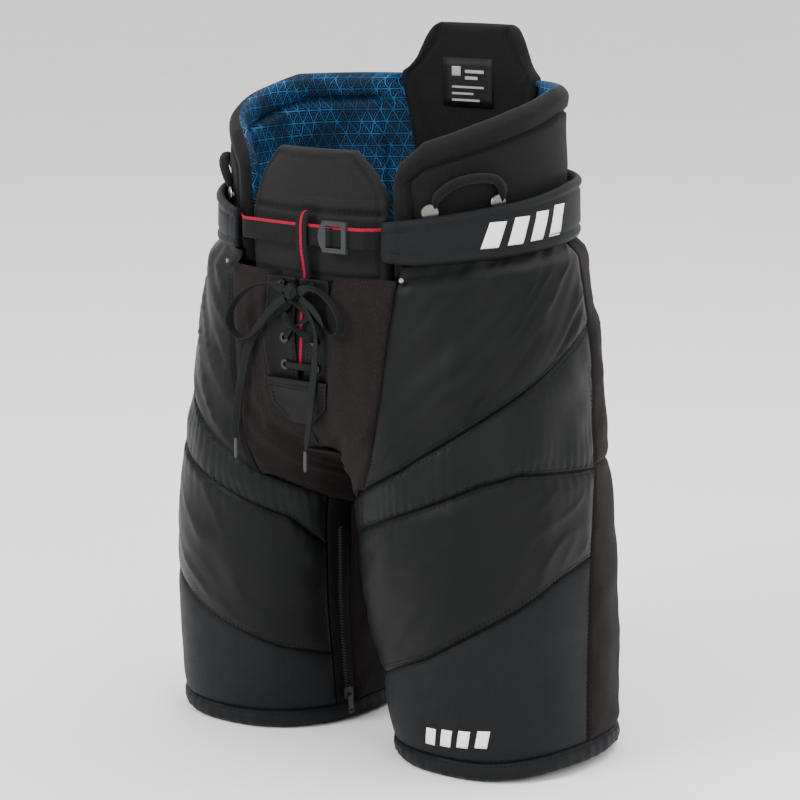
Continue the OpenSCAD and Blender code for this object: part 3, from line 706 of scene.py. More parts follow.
def angle_at(x, z):
    """The front angle at which a section reaches x."""
    cx, ax = LEG[0](z), LEG[1](z)
    v = (x - cx) / ax
    p = np.minimum(np.abs(v) ** LEG_N, 0.999)
    return np.degrees(np.sign(v) * np.arctan((p / (1 - p)) ** (1 / LEG_N)))


# Seams, mostly as in the CAD source: height against angle, or angle or place against height.
# HIP_TOP runs higher than the CAD's, under the bands, and ZIP_SEAM's top differs by 2 degrees.
UPPER_SEAM = table([(-57, 226), (-27, 246), (8, 274), (30, 297), (56, 327), (86, 360), (110, 384)])
GATHER_SEAM = table([(-57, 180), (-40, 207), (-11, 226), (15, 243), (44, 264), (62, 270), (110, 259)])
LOWER_SEAM = table([(-75, 66), (-38, 80), (5, 108), (37, 138), (78, 174), (101, 184)])
SIDE_SEAM = table([(21, 88), (95, 94), (183, 101), (258, 109), (330, 111), (450, 111)])
ZIP_SEAM = table([(0, -69), (69, -65), (126, -61), (205, -57)])
GUSSET_X = table([(248, 58), (279, 71), (340, 82), (378, 86), (438, 93)])
HIP_TOP = table([(10, 434), (20, 440), (30, 446), (67, 458), (108, 463), (200, 463)])
ZIP_TAPE_ANGLE = 12.0
BACK_INNER = 237.0


def gusset_seam(z):
    return angle_at(GUSSET_X(z), z)

# ---------------------------------------------------------------- cloth panels on the body
CLOTH_T = 3.0
SIDES = (("left", False, 0.0), ("right", True, 31.0))
SURFACES = {"left": [], "right": []}        # what stitches may lie on


def carry_leg(obj, side, *nodes, slot=None):
    """The piece's transform goes into its mesh, and the CAD parts it replaces are hidden."""
    if nodes:
        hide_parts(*nodes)
    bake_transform(obj)
    return obj


def side_grid(left, right, low, high, step=4.5, fine=5.0):
    """Angles and heights of a grid between two side lines and two end lines."""
    middle = (low(np.array(40.0)) + high(np.array(40.0))) / 2
    width = abs(float(right(middle) - left(middle))) * 1.9
    height = abs(float(high(np.array(40.0)) - low(np.array(40.0))))
    u, v = np.meshgrid(marks(width, step, fine), marks(max(height, 12), step, fine))
    z = low(0 * u + 40) * (1 - v) + high(0 * u + 40) * v
    for _ in range(5):
        theta = lerp(left(z), right(z), u)
        z = lerp(low(theta), high(theta), v)
    return theta, z


def ruled_grid(line0, line1, step=4.5, fine=5.0):
    """A grid ruled between two lines of (angle, height) points, both running upward."""
    def spread(line, v):
        p = body(line[:, 0], line[:, 1])
        s = lengths(p, 0)
        return np.interp(v * s[-1], s, line[:, 0]), np.interp(v * s[-1], s, line[:, 1]), s[-1]

    _, _, length = spread(line0, np.array([0.0]))
    v = marks(length, step, fine)
    t0, z0, _ = spread(line0, v)
    t1, z1, _ = spread(line1, v)
    wide = np.linalg.norm(body(t0, z0) - body(t1, z1), axis=1).max()
    u = marks(wide * 1.1, step, fine)
    return lerp(t0[:, None], t1[:, None], u[None, :]), lerp(z0[:, None], z1[:, None], u[None, :])


def tuck_profile(far, tuck):
    """The edge of a panel turns in at its seam."""
    return -tuck * np.exp(-((far / 2.2) ** 1.3))


def cloth_panel(name, grid, materials, relief, mirror, seed, edges="lrbt", puff=2.0, reach=16.0,
                tuck=2.2, thick=CLOTH_T, base=0.0, inner_slot=0):
    """One sewn panel of thin padded cloth: it swells between its seams and tucks in along them."""
    theta, z = grid
    points = body(theta, z, base)
    n = normals_of(points)
    far = edge_distance(points, edges) if edges else np.full(z.shape, 60.0)
    u, v = lengths(points, 1), lengths(points, 0)
    lift = puff * (1 - np.exp(-far / reach)) + tuck_profile(far, tuck)
    lift = lift + relief(u, v, theta, z, far, seed)
    outer = points + n * lift[..., None]
    inner = points + n * (np.minimum(lift, puff) - thick)[..., None]
    for p in (outer, inner):
        p[..., 0] = np.maximum(p[..., 0], 0.15)
        p[..., 2] = np.maximum(p[..., 2], 0.4)
    obj = shell_object(name, outer, inner, materials, inner_slot=inner_slot, mirror=mirror)
    SURFACES["right" if mirror else "left"].append(obj)
    return obj


# ---------------------------------------------------------------- wrinkles


def to_top(v):
    """How far each grid point is below its top edge."""
    return v[-1:, :] - v


def nylon_folds(u, v, theta, z, far, seed):
    """Soft hollows and a few long slanting creases in the padded nylon."""
    keep = smooth(far / 16)
    swell = 1.8 * noise(u / 46, v / 34, seed) + 0.9 * noise(u / 21, v / 17, seed + 3)
    slant = (u * 0.8 + v * 0.6, -u * 0.6 + v * 0.8)
    crease = 2.9 * ridges(slant[0] / 58 + 0.6 * noise(u / 40, v / 40, seed + 5), slant[1] / 15, seed + 7)
    bend = 1.6 * ridges((u * 0.5 - v) / 44 + 0.5 * noise(u / 50, v / 50, seed + 11), (u + v * 0.4) / 70,
                        seed + 13)
    return keep * (swell + crease + bend - 1.4)


def seat_folds(u, v, theta, z, far, seed):
    keep = smooth(far / 14)
    swell = 2.2 * noise(u / 60, v / 30, seed) + 1.1 * noise(u / 26, v / 16, seed + 3)
    along = u / 60 + 0.8 * noise(u / 50, v / 40, seed + 9)
    down = v / 26 + 0.5 * noise(u / 70, v / 60, seed + 5)
    droop = 1.5 * ridges(along, down, seed + 2)
    return keep * (swell + droop - 0.6)


def gathers(u, v, theta, z, far, seed):
    """Puckers that stand across a gathered seam and fade away from it."""
    phase = u + 5 * noise(u / 30, v / 25, seed + 1)
    pucker = np.abs(np.sin(math.pi * phase / 9.5)) ** 0.7 - 0.5
    near = np.exp(-far / 14)
    soft = 1.3 * noise(u / 24, v / 20, seed)
    uneven = 0.6 + 0.6 * noise(u / 40, v / 40, seed + 6)
    return smooth(far / 3) * 2.7 * near * pucker * uneven + smooth(far / 12) * soft


def thigh_folds(u, v, theta, z, far, seed):
    """Mostly smooth over the cap, with short puckers under the gathered seam."""
    top = to_top(v)
    pucker = (np.abs(np.sin(math.pi * (u + 6 * noise(u / 30, v / 20, seed)) / 13)) - 0.5) * np.exp(-top / 15)
    swell = 1.5 * noise(u / 55, v / 38, seed) + 0.6 * noise(u / 20, v / 16, seed + 2)
    crease = 1.1 * ridges((u + v) / 60, (v - 0.5 * u) / 19 + 0.5 * noise(u / 44, v / 33, seed + 8), seed + 4)
    return smooth(far / 4) * 1.3 * pucker + smooth(far / 16) * (swell + crease - 0.5)


def mesh_smooth(u, v, theta, z, far, seed):
    return smooth(far / 16) * (0.9 * noise(u / 58, v / 40, seed) + 0.35 * noise(u / 22, v / 18, seed + 2))


def knit_folds(u, v, theta, z, far, seed):
    keep = smooth(far / 12)
    swell = 1.6 * noise(u / 36, v / 36, seed) + 0.9 * noise(u / 17, v / 15, seed + 3)
    long_fold = 2.0 * ridges(u / 17 + 0.7 * noise(u / 40, v / 30, seed + 6), v / 70, seed + 1)
    return keep * (swell + long_fold - 0.7)


# ---------------------------------------------------------------- panels
HEM_TOP = 17.0
HEM_RISE = 6.0              # how much higher the hem is on the outer side
SEAT_LOW_SIDE, SEAT_LOW_CENTRE = 262.0, float(CENTRE_Z[LOWEST])
FLY_SIDE = -4.0             # the fly sits a little to the wearer's right
TUCK_UNDER = 10.0           # how far the shell's top edge goes in under the hip bands


def hem_lift(theta):
    return HEM_RISE * smooth((theta - 20) / 60) * (1 - smooth((theta - 110) / 60))


def under_band(theta, z):
    """The top of the shell goes in under the hip band."""
    return -TUCK_UNDER * smooth((z - (HIP_TOP(theta) - 20)) / 16) * smooth((theta - 22) / 10)


def tucked_top(relief):
    return lambda u, v, theta, z, far, seed: relief(u, v, theta, z, far, seed) + under_band(theta, z)


def gusset_folds(u, v, theta, z, far, seed):
    """Folds that sweep down and outward from the flap, and a sink behind the fly."""
    x = LEG[0](z) + LEG[1](z) * np.sin(np.radians(theta))
    slant = 0.75 * (z - 300) - 0.66 * x
    across = 0.66 * (z - 300) + 0.75 * x
    low = smooth((345 - z) / 50)
    fold = ridges(across / 70 + 0.5 * noise(x / 30, z / 30, seed),
                  slant / 15 + 0.3 * noise(x / 25, z / 25, seed + 2))
    hang = ridges(x / 17 + 0.5 * noise(x / 30, z / 40, seed + 5), z / 90, seed + 1)
    soft = 1.2 * noise(u / 26, v / 30, seed + 4)
    side = FLY_SIDE if seed < 20 else -FLY_SIDE
    sink = -12.0 * (1 - smooth((x - side - 27) / 11)) * smooth((z - 322) / 16)
    edge = -5.0 * smooth((z - 421) / 13) * (1 - smooth((x - 78) / 14))
    return smooth(far / 10) * (low * (4.2 * fold - 1.0) + (1 - low) * 2.4 * (hang - 0.3) + soft) + sink + edge


def column_line(side, z0, z1):
    z = np.linspace(z0, z1, 40)
    return np.stack([side(z) + 0 * z, z], axis=1)


def gusset_edges():
    """The front gusset's two side lines, from below: the centre line, and the seam round its outside."""
    top = 435.0
    z = np.linspace(248, top, 36)
    upper = np.stack([gusset_seam(z), z], axis=1)
    start = float(gusset_seam(248.0))
    t = np.linspace(-74, start, 18)[:-1]
    ease = np.linspace(0, 1, 18)[:-1]
    lower = np.stack([t, lerp(lerp(214, UPPER_SEAM(t), smooth(ease * 2)), 248, smooth(ease) ** 6)], axis=1)
    keep = CENTRE_Z[: LOWEST + 1] < top
    centre = np.stack([CENTRE_T[: LOWEST + 1][keep], CENTRE_Z[: LOWEST + 1][keep]], axis=1)[::-1]
    return centre, np.concatenate([lower, upper])


SEED_STEP = 3.7             # keeps the wrinkles of one panel unlike the next one's


def make_panels(side, mirror, seed):
    made = []

    def panel(key, grid, material, relief, nodes, slot, **more):
        obj = cloth_panel(f"{side}_{key}_cloth", grid, [material, DARK_LINER], relief, mirror,
                          seed + len(made) * SEED_STEP, inner_slot=1, **more)
        made.append(carry_leg(obj, side, *[f"{side}_{n}" for n in nodes], slot=slot))

    centre, outside = gusset_edges()
    panel("gusset", ruled_grid(centre, outside), KNIT, gusset_folds, ["front_gusset"], "stretch_knit",
          edges="r", puff=1.0, tuck=2.0)
    panel("upper", side_grid(gusset_seam, SIDE_SEAM, UPPER_SEAM, HIP_TOP), NYLON, tucked_top(nylon_folds),
          ["hip_panel", "thigh_yoke"], "nylon_shell", edges="lrb", puff=3.5)
    z = np.linspace(SEAT_LOW_SIDE, 463, 40)
    back_line = column_line(centre_back, SEAT_LOW_CENTRE + 0.5, 463)
    panel("seat", ruled_grid(np.stack([SIDE_SEAM(z), z], axis=1), back_line), KNIT, tucked_top(seat_folds),
          ["seat_panel"], "stretch_knit", edges="lb", puff=4.0)

    def seat_low(theta):
        return lerp(SEAT_LOW_SIDE, SEAT_LOW_CENTRE, np.clip((theta - 110) / 160, 0, 1))

    hem = lambda theta: HEM_TOP + hem_lift(theta)
    inner_edge = fixed(BACK_INNER)
    panel("back", side_grid(SIDE_SEAM, inner_edge, hem, seat_low), KNIT, seat_folds, ["back_panel"],
          "stretch_knit", puff=4.0)
    inner_top = table([(BACK_INNER, seat_low(BACK_INNER)), (270, SEAT_LOW_CENTRE), (286, 213), (304, 226)])
    tape_left = lambda z: 360 + ZIP_SEAM(z) - ZIP_TAPE_ANGLE
    panel("inner", side_grid(inner_edge, tape_left, hem, inner_top), KNIT, knit_folds, ["inner_panel"],
          "stretch_knit", puff=2.0)
    panel("zip", side_grid(lambda z: ZIP_SEAM(z) - ZIP_TAPE_ANGLE, lambda z: ZIP_SEAM(z) - 0.3,
                           fixed(HEM_TOP), lambda t: UPPER_SEAM(t) - 4, step=3.0, fine=2.0),
          THREAD, lambda u, v, theta, z, far, seed: 0 * u, ["zip_tape"], "zip_tape_cloth",
          edges="lr", puff=0.0, tuck=1.0, base=-0.6, thick=1.6)
    panel("gather", side_grid(ZIP_SEAM, SIDE_SEAM, GATHER_SEAM, UPPER_SEAM, step=2.6, fine=3.5), NYLON_GATHER,
          gathers, ["gather_band"], "nylon_shell", puff=2.6)
    panel("thigh", side_grid(ZIP_SEAM, SIDE_SEAM, LOWER_SEAM, GATHER_SEAM, step=3.4), NYLON, thigh_folds,
          ["thigh_panel"], "nylon_shell", puff=3.6)
    panel("lower", side_grid(ZIP_SEAM, SIDE_SEAM, hem, LOWER_SEAM), DIAMOND, mesh_smooth,
          ["lower_panel"], "mesh_cloth", puff=3.0)


def hem_band(side, mirror, seed):
    """The rolled channel round the leg opening, lifted a little on the outer side."""
    theta = np.linspace(0, 360, 181)[:-1]
    lift = hem_lift(theta)
    profile = [(-9, 17.5), (-1.5, 17.5), (0.4, 16), (1.6, 12), (1.7, 8), (0.9, 4), (-1.5, 1.2), (-6, 0.3),
               (-12, 0.3), (-17, 1.2), (-19.5, 4), (-20.5, 9), (-20.8, 16)]
    rows = []
    for off, z in profile:
        ripple = 0.7 * noise(theta / 8, 0 * theta + off, seed) + 0.4 * np.sin(np.radians(theta) * 46)
        rows.append(body(theta, np.maximum(z + lift + 0 * theta, 0.2), off + ripple * (off > -4)))
    outer = np.array(rows)[::-1]
    heights = np.linspace(15.5, 15, len(profile))[:, None] + lift
    core = body(theta[None, :] + 0 * outer[..., 0], heights, -10.0)
    inner = lerp(outer, core, 0.35)
    obj = shell_object(f"{side}_hem_cloth", outer, inner, [DIAMOND], wrap=True, mirror=mirror)
    SURFACES[side].append(obj)
    return carry_leg(obj, side, f"{side}_hem_band", slot="mesh_cloth")


def leg_lining(side, mirror, seed):
    """The quilted lining inside the leg, over the thigh foam, which flares out to meet the shell."""
    theta = np.linspace(0, 360, 121)[:-1]
    z = np.array([12, 16, 30, 50, 75, 100, 125, 150, 175, 195, 210, 222, 232, 240, 246])
    flare = 15 * smooth((z - 195) / 45)
    tt, zz = np.meshgrid(theta, z)
    ff = np.meshgrid(theta, flare)[1]
    cells = np.abs(np.sin(np.radians(tt) * 8)) * np.abs(np.sin(math.pi * zz / 60))
    quilt = 1.4 * cells + noise(tt / 14, zz / 20, seed)
    inward = body(tt, zz, -22.5 + ff - quilt)
    outward = body(tt, zz, -18.5 + ff * 0.95)
    outward, inward = np.maximum(outward, [0.3, -999, 0]), np.maximum(inward, [0.3, -999, 0])
    obj = shell_object(f"{side}_leg_lining", outward, inward, [DARK_LINER], wrap=True, mirror=mirror)
    return carry_leg(obj, side, f"{side}_thigh_pad", f"{side}_thigh_cap", slot="foam")


for side, mirror, seed in SIDES:
    make_panels(side, mirror, seed)
    hem_band(side, mirror, seed)
    leg_lining(side, mirror, seed)

# ---------------------------------------------------------------- pads


def pad_shape(name, middle, thick, materials, rim=8.0, outside=None, inside=None, mirror=False,
              nodes=(), slot="pad_cover"):
    """A sewn pad with a rounded rim: its middle surface, its thickness, and what each face adds."""
    n = normals_of(middle)
    far = edge_distance(middle, "lrbt")
    rise = np.sqrt(np.clip(1 - (1 - np.clip(far / rim, 0, 1)) ** 2, 0.002, 1))
    u, v = lengths(middle, 1), lengths(middle, 0)
    out = thick / 2 * rise + (outside(u, v, far) if outside else 0) * smooth(far / rim)
    back = thick / 2 * rise + (inside(u, v, far) if inside else 0) * smooth(far / rim)
    obj = shell_object(name, middle + n * out[..., None], middle - n * back[..., None], materials,
                       inner_slot=len(materials) - 1, mirror=mirror)
    return carry(obj, "hips", *nodes, slot=slot)


def ring_grid(rows, left, right, low, high, off, step=4.5, fine=8.0):
    """The middle surface of a pad on a waist ring. Its side lines are angles by height."""
    z_mid = float((low(np.array(90.0)) + high(np.array(90.0))) / 2)
    width = abs(float(right(z_mid) - left(z_mid))) * 2.6
    height = float(high(np.array(90.0)) - low(np.array(90.0)))
    u, v = np.meshgrid(marks(width, step, fine), marks(height, step, fine))
    z = low(0 * u + 90) * (1 - v) + high(0 * u + 90) * v
    for _ in range(5):
        theta = lerp(left(z), right(z), u)
        z = lerp(low(theta), high(theta), v)
    return ring(rows, theta, z, off)


def groove(far, at, depth, width=2.2):
    """A stitched channel at a distance from the rim."""
    return -depth * np.exp(-(((far - at) / width) ** 2))


WING_TOP = table([(29, 500), (34, 533), (42, 551), (61, 566), (77, 576), (92, 583), (106, 590), (146, 590)])
WING_ROLL = 22.0
PAD_T = 15.5
SPINE_HALF = table([
    (470, 66), (514, 70), (560, 78), (586, 84), (592, 82), (597, 75), (604, 69), (614, 64), (624, 59),
    (631, 54), (635, 50), (638, 43),
])


def ring_angle(rows, half, z, n=RING_N):
    v = half / np.interp(z, rows[:, 0], rows[:, 1])
    p = np.minimum(np.abs(v) ** n, 0.9999)
    return np.degrees(np.arctan((p / (1 - p)) ** (1 / n)))


def hip_wing(side, mirror, seed):
    """The hip pad: a black cover outside, a printed liner inside, and a fat roll along its rim."""
    back = lambda z: 180 - ring_angle(WAIST, SPINE_HALF(z) - 12, z)
    grid = ring_grid(WAIST, fixed(32), back, fixed(434), WING_TOP, -8.2, step=2.4)
    angle = np.degrees(np.arctan2(grid[..., 0] / 154, -grid[..., 1] / 130))
    thin = 6.5 * smooth((angle - 140) / 9)

    def outside(u, v, far):
        rim = np.minimum(to_top(v), u)
        roll = 1.8 * np.exp(-(((rim - 10) / 8) ** 2))
        near = np.exp(-(((rim - WING_ROLL) / 5) ** 2))
        pucker = 0.5 * np.sin(2 * math.pi * (u + v) / 4.6) * near
        return roll + groove(rim, WING_ROLL, 4.4, 1.9) + pucker + 0.9 * noise(u / 45, v / 40, seed) - 0.6

    def inside(u, v, far):
        rim = np.minimum(np.minimum(to_top(v), u), u[:, -1:] - u - 12)
        roll = 1.2 * np.exp(-(((rim - 12) / 8) ** 2))
        channel = groove(rim, WING_ROLL + 4, 4.6, 3.0)
        return roll + channel + 1.4 * noise(u / 38, v / 33, seed + 4) - 0.8 - thin

    return pad_shape(f"{side}_hip_wing", grid, PAD_T, [PAD, BLUE], 9.0, outside, inside, mirror,
                     nodes=(f"{side}_hip_pad", f"{side}_hip_plate"))


def spine_guard():
    half = lambda z: ring_angle(WAIST, SPINE_HALF(z), z)
    rise = fixed(638)
    z_span = ring_grid(WAIST, lambda z: 180 - half(z), lambda z: 180 + half(z), fixed(474), rise, -9.6)
    width = np.abs(z_span[..., 0])
    seam_at = np.interp(z_span[..., 2], [532, 551, 570, 590, 605, 625], [51, 60, 64, 71, 55, 40])

    def seams(u, v, far):
        side = -2.2 * np.exp(-(((width - seam_at) / 2.4) ** 2)) * smooth((z_span[..., 2] - 500) / 20)
        return side + 0.9 * noise(u / 40, v / 30, 5.0)

    def outside(u, v, far):
        rows = -1.6 * np.exp(-(((z_span[..., 2] - 600) / 2.6) ** 2))
        return rows + groove(far, 12, 1.8) + 0.9 * noise(u / 40, v / 30, 8.0)

    return pad_shape("spine_cover", z_span, 13.0, [PAD], 8.0, outside, seams,
                     nodes=("spine_guard", "spine_plate"))


def belly_pad():
    half = table([(430, 78), (486, 77), (502, 75), (512, 70), (522, 63), (531, 55), (538, 48), (542, 42)])
    angle = lambda z: ring_angle(BELLY, half(z), z)
    top = fixed(541.5)
    grid = ring_grid(BELLY, lambda z: -angle(z), angle, fixed(425), top, -5.6, step=2.0)
    z, x = grid[..., 2], grid[..., 0]

    def outside(u, v, far):
        seam = -4.2 * np.exp(-(((z - 488) / 1.8) ** 2)) * (1 + 0.25 * np.sin(x * 1.25))
        slot = -1.6 * np.exp(-(((z - 488) / 4) ** 2)) * np.exp(-(((x - 3) / 11) ** 4))
        puff = 2.2 * (1 - np.exp(-np.abs(z - 490) / 9)) - 0.8
        return seam + slot + puff + groove(far, 8.5, 1.7, 1.4) + 0.7 * noise(u / 34, v / 24, 3.0) - 0.8

    return pad_shape("belly_cover", grid, 10.5, [PAD_GREY, BLUE], 6.5, outside, None, nodes=("belly_pad",))


def tailbone():
    grid = ring_grid(WAIST, fixed(162), fixed(198), fixed(358),
                     fixed(464), -9.4)
    return pad_shape("tailbone_cover", grid, 10.0, [PAD], 7.0,
                     lambda u, v, far: 0.8 * noise(u / 25, v / 25, 2.0),
                     lambda u, v, far: groove(far, 14, 1.5), nodes=("tailbone_pad",))


BAND_LOW = table([(28, 450), (39, 448), (67, 452), (108, 458), (152, 460)])
BAND_HIGH = table([(28, 484), (39, 488), (60, 496), (79, 501), (105, 510), (152, 512)])


def hip_band(side, mirror, seed):
    """The wide band over the hip: rolled edges, a folded front end and a slack mesh face."""
    grid = ring_grid(BAND, lambda z: 28.6 + 0.0012 * (z - 467) ** 2, fixed(152),
                     BAND_LOW, BAND_HIGH, -4.6, step=3.8, fine=6.0)

    def outside(u, v, far):
        top = to_top(v)
        edge = np.minimum(v, top)
        roll = 1.0 * np.exp(-(((edge - 4.5) / 3) ** 2)) + groove(edge, 9.5, 1.5, 1.5)
        fold = 1.0 * np.exp(-(((u - 9) / 3.5) ** 2)) + groove(u, 16, 1.6, 1.8)
        return roll + fold + 0.8 * noise(u / 30, v / 14, seed) - 0.8

    return pad_shape(f"{side}_band_cover", grid, 7.8, [BAND_MESH, PAD], 4.5, outside, None, mirror,
                     nodes=(f"{side}_hip_band",), slot="mesh_cloth")


def waist_casing():
    grid = ring_grid(WAIST, fixed(52), fixed(308), fixed(457),
                     fixed(486), 1.4, fine=2.0)
    return pad_shape("waist_casing_cloth", grid, 1.6, [PAD], 1.5, nodes=("waist_casing",))


for side, mirror, seed in SIDES:
    hip_wing(side, mirror, seed)
    hip_band(side, mirror, seed)
spine_guard()
belly_pad()
tailbone()
waist_casing()

# ---------------------------------------------------------------- the fly


def front_y(x, z, off=0.0):
    """The body's front face at a place across and a height, in mm."""
    x, z = np.broadcast_arrays(np.asarray(x, float), np.asarray(z, float))
    near, far = np.full(x.shape, -60.0), np.full(x.shape, -175.0)
    for _ in range(24):
        mid = (near + far) / 2
        inside = distance(x, mid, z) < off
        near, far = np.where(inside, mid, near), np.where(inside, far, mid)
    return near


FLY_X, FLY_Y, FLY_Z = FLY_SIDE, -129.0, 340.0
FLY_SLOPE = math.tan(math.radians(2.8))
PLACKET_T = 2.5
EYELET_ROWS = (13, 37, 61, 84)
EYELET_X = 17.0


def fly_front(x, z):
    """The placket's outer face: flat round the eyelets, then down onto the gusset."""
    flat = FLY_Y - FLY_SLOPE * (z - FLY_Z) - PLACKET_T
    skin = front_y(x, z) - 2.2
    edge = smooth((np.abs(x - FLY_X) - 25) / 12)
    low = smooth((FLY_Z - 2 - z) / 22)
    blend = np.maximum(edge, low)
    return lerp(flat, skin, blend)


def flat_piece(name, left, right, z0, z1, thick, materials, relief=None, step=3.0, fine=3.0, face=fly_front,
               rim=1.6):
    """A piece of cloth lying on the front: its side lines are places across, by height."""
    v = marks(z1 - z0, step, fine)
    u = marks(float(np.max(right(z0 + v * (z1 - z0)) - left(z0 + v * (z1 - z0)))), step, fine)
    z = z0 + (z1 - z0) * v[:, None] + 0 * u[None, :]
    x = lerp(left(z), right(z), u[None, :])
    middle = np.stack([x, face(x, z) + thick / 2, z], axis=-1)
    far = edge_distance(middle, "lrbt")
    rise = np.sqrt(np.clip(1 - (1 - np.clip(far / rim, 0, 1)) ** 2, 0.01, 1))
    out = thick / 2 * rise
    if relief is not None:
        out = out + relief(x, z, far) * smooth(far / rim)
    n = normals_of(middle)
    return shell_object(name, middle + n * out[..., None], middle - n * (thick / 2 * rise)[..., None],
                        materials)


def make_fly():
    def crumple(seed):
        def relief(x, z, far):
            fold = 0.7 * ridges(x / 30 + 0.4 * noise(x / 18, z / 18, seed), z / 9, seed + 1) - 0.25
            away = np.ones_like(x)
            for row in EYELET_ROWS:
                for s in (-1, 1):
                    r = np.hypot(x - FLY_X - s * EYELET_X, z - FLY_Z - row)
                    away = away * smooth((r - 5.5) / 5)
            return (fold + 0.5 * noise(x / 14, z / 20, seed + 2)) * away * smooth(far / 4) - 0.25 * (1 - away)
        return relief

    outer = table([(332, 33), (372, 39), (431, 34)])
    for side, sign, seed in (("left", 1, 2.0), ("right", -1, 7.0)):
        def inner(z):
            gap = 2.2 + 4.0 * np.exp(-(((z - 378) / 24) ** 2)) + 0.5 * np.sin(z / 9 + seed)
            return FLY_X + sign * gap

        edge = lambda z: FLY_X + sign * outer(z)
        lines = (inner, edge) if sign > 0 else (edge, inner)
        obj = flat_piece(f"{side}_placket_cloth", *lines, 336, 431, PLACKET_T, [NYLON_SHINE], crumple(seed))
        carry(obj, "hips", f"{side}_fly_placket", slot="nylon_shell")
        SURFACES["left"].append(obj)
    tongue = flat_piece(
        "fly_tongue_cloth", fixed(FLY_X - 26), fixed(FLY_X + 26), 340, 430, 4, [PAD],
        lambda x, z, far: 0.8 * noise(x / 9, z / 24, 4.0),
        face=lambda x, z: FLY_Y - FLY_SLOPE * (z - FLY_Z) + 2.4,
    )
    carry(tongue, "hips", "fly_tongue", slot="pad_cover")
    half = table([(300, 7), (304, 14), (318, 30), (341, 34)])
    flap = flat_piece(
        "fly_flap_cloth", lambda z: FLY_X - half(z), lambda z: FLY_X + half(z), 301, 342, 3.0, [NYLON_SHINE],
        lambda x, z, far: 0.9 * noise(x / 22, z / 12, 9.0) + 0.8 * ridges(x / 34, z / 10, 3.0) - 0.3,
        face=lambda x, z: front_y(x, z) - 3.4,
    )
    carry(flap, "hips", "fly_base", slot="nylon_shell")
    SURFACES["left"].append(flap)


make_fly()


def crotch_patch():
    """The small panel that backs the two gussets where they meet between the legs."""
    rows = [(-108, 262.5), (-60, 254.5), (0, 252), (60, 254.5), (102, 262), (117, 300)]
    y, z = np.array(rows, float).T
    s = np.linspace(0, len(rows) - 1, 40)
    y, z = np.interp(s, range(len(rows)), y), np.interp(s, range(len(rows)), z)
    x = np.linspace(-22, 22, 14)
    outer = np.stack(np.broadcast_arrays(x[:, None], y[None, :], z[None, :] + 10.0), axis=-1)
    puff = 0.8 * noise(outer[..., 0] / 9, outer[..., 1] / 14, 2.0)
    outer = outer + np.array([0, 0, 1]) * puff[..., None]
    obj = shell_object("crotch_cloth", outer, outer + np.array([0, 0, 2.2]), [KNIT])
    return carry(obj, "hips", "crotch_gusset", slot="stretch_knit")


crotch_patch()

# ---------------------------------------------------------------- belt, centre strap and loops
BELT_Z, BELT_W, BELT_T = 460.0, 19.0, 1.6
BELT = [(0, -134), (58, -134), (70, -128.5), (77, -121.5), (84, -116), (92, -110.5), (106, -101)]


def belt():
    half = np.array([(x, y, BELT_Z) for x, y in BELT], float)
    line = spline(np.concatenate([(half * [-1, 1, 1])[::-1], half[1:]]), 10)
    line[:, 1] -= BELT_T / 2
    line[:, 2] += 0.9 * np.exp(-((line[:, 0] + 60) / 30) ** 2)
    obj = strap("belt_webbing_cloth", line, BELT_W, BELT_T, (0, 0, 1), [BELT_CLOTH],
                lambda s, v: 0.35 * np.sin(s / 17) * (v - 0.5))
    return carry(obj, "hips", "belt_webbing", slot="webbing")


def centre_strap():
    rows = [(-3, -130.2, 489), (-3, -135.6, 486.5), (-3, -138.1, 478), (-3, -138.3, 470), (-3, -138.0, 456),
            (-3, -134.6, 440), (-4, -132.6, 431), (-9, -130.9, 400), (-11.5, -129.8, 352)]
    line = spline(rows, 8)
    obj = strap("centre_strap_cloth", line, 12.0, 1.5, (1, 0, 0), [STRAP_CLOTH],
                lambda s, v: 0.3 * np.sin(s / 11 + v))
    return carry(obj, "hips", "centre_strap", slot="webbing")


def suspender_loops():
    route = [(45.5, 496), (45.8, 504), (48, 511), (51, 516.5), (55, 520), (60, 521.5), (65, 520), (68, 515),
             (69.5, 508), (69.6, 500)]
    lift = [1.4, 2.6, 4.0, 4.8, 4.8, 4.8, 4.8, 4.4, 3.0, 1.4]
    for side, mirror, _ in SIDES:
        points = np.array([ring(WAIST, t, z, off) for (t, z), off in zip(route, lift)])
        line = spline(points, 6)
        if mirror:
            line = line * [-1, 1, 1]
        obj = sweep(f"{side}_suspender_loop", line, 8.4, 8.4, (0.62 * (-1 if mirror else 1), -0.78, 0.05),
                    [LOOP_CLOTH], sides=16, power=2.0,
                    ends=lambda s, total: 0.5 + 0.5 * smooth(np.minimum(s, total - s) / 12),
                    relief=lambda s, a: 0.05 * np.sin(a * 4 + s * 1.5) + 0.03 * np.sin(s * 2.2))
        carry(obj, "hips", *(["suspender_loops"] if not mirror else []), slot="webbing")


belt()
centre_strap()
suspender_loops()

# ---------------------------------------------------------------- the lacing between the eyelets


def fly_point(x, h, out):
    return (FLY_X + x, FLY_Y - FLY_SLOPE * h - out, FLY_Z + h)


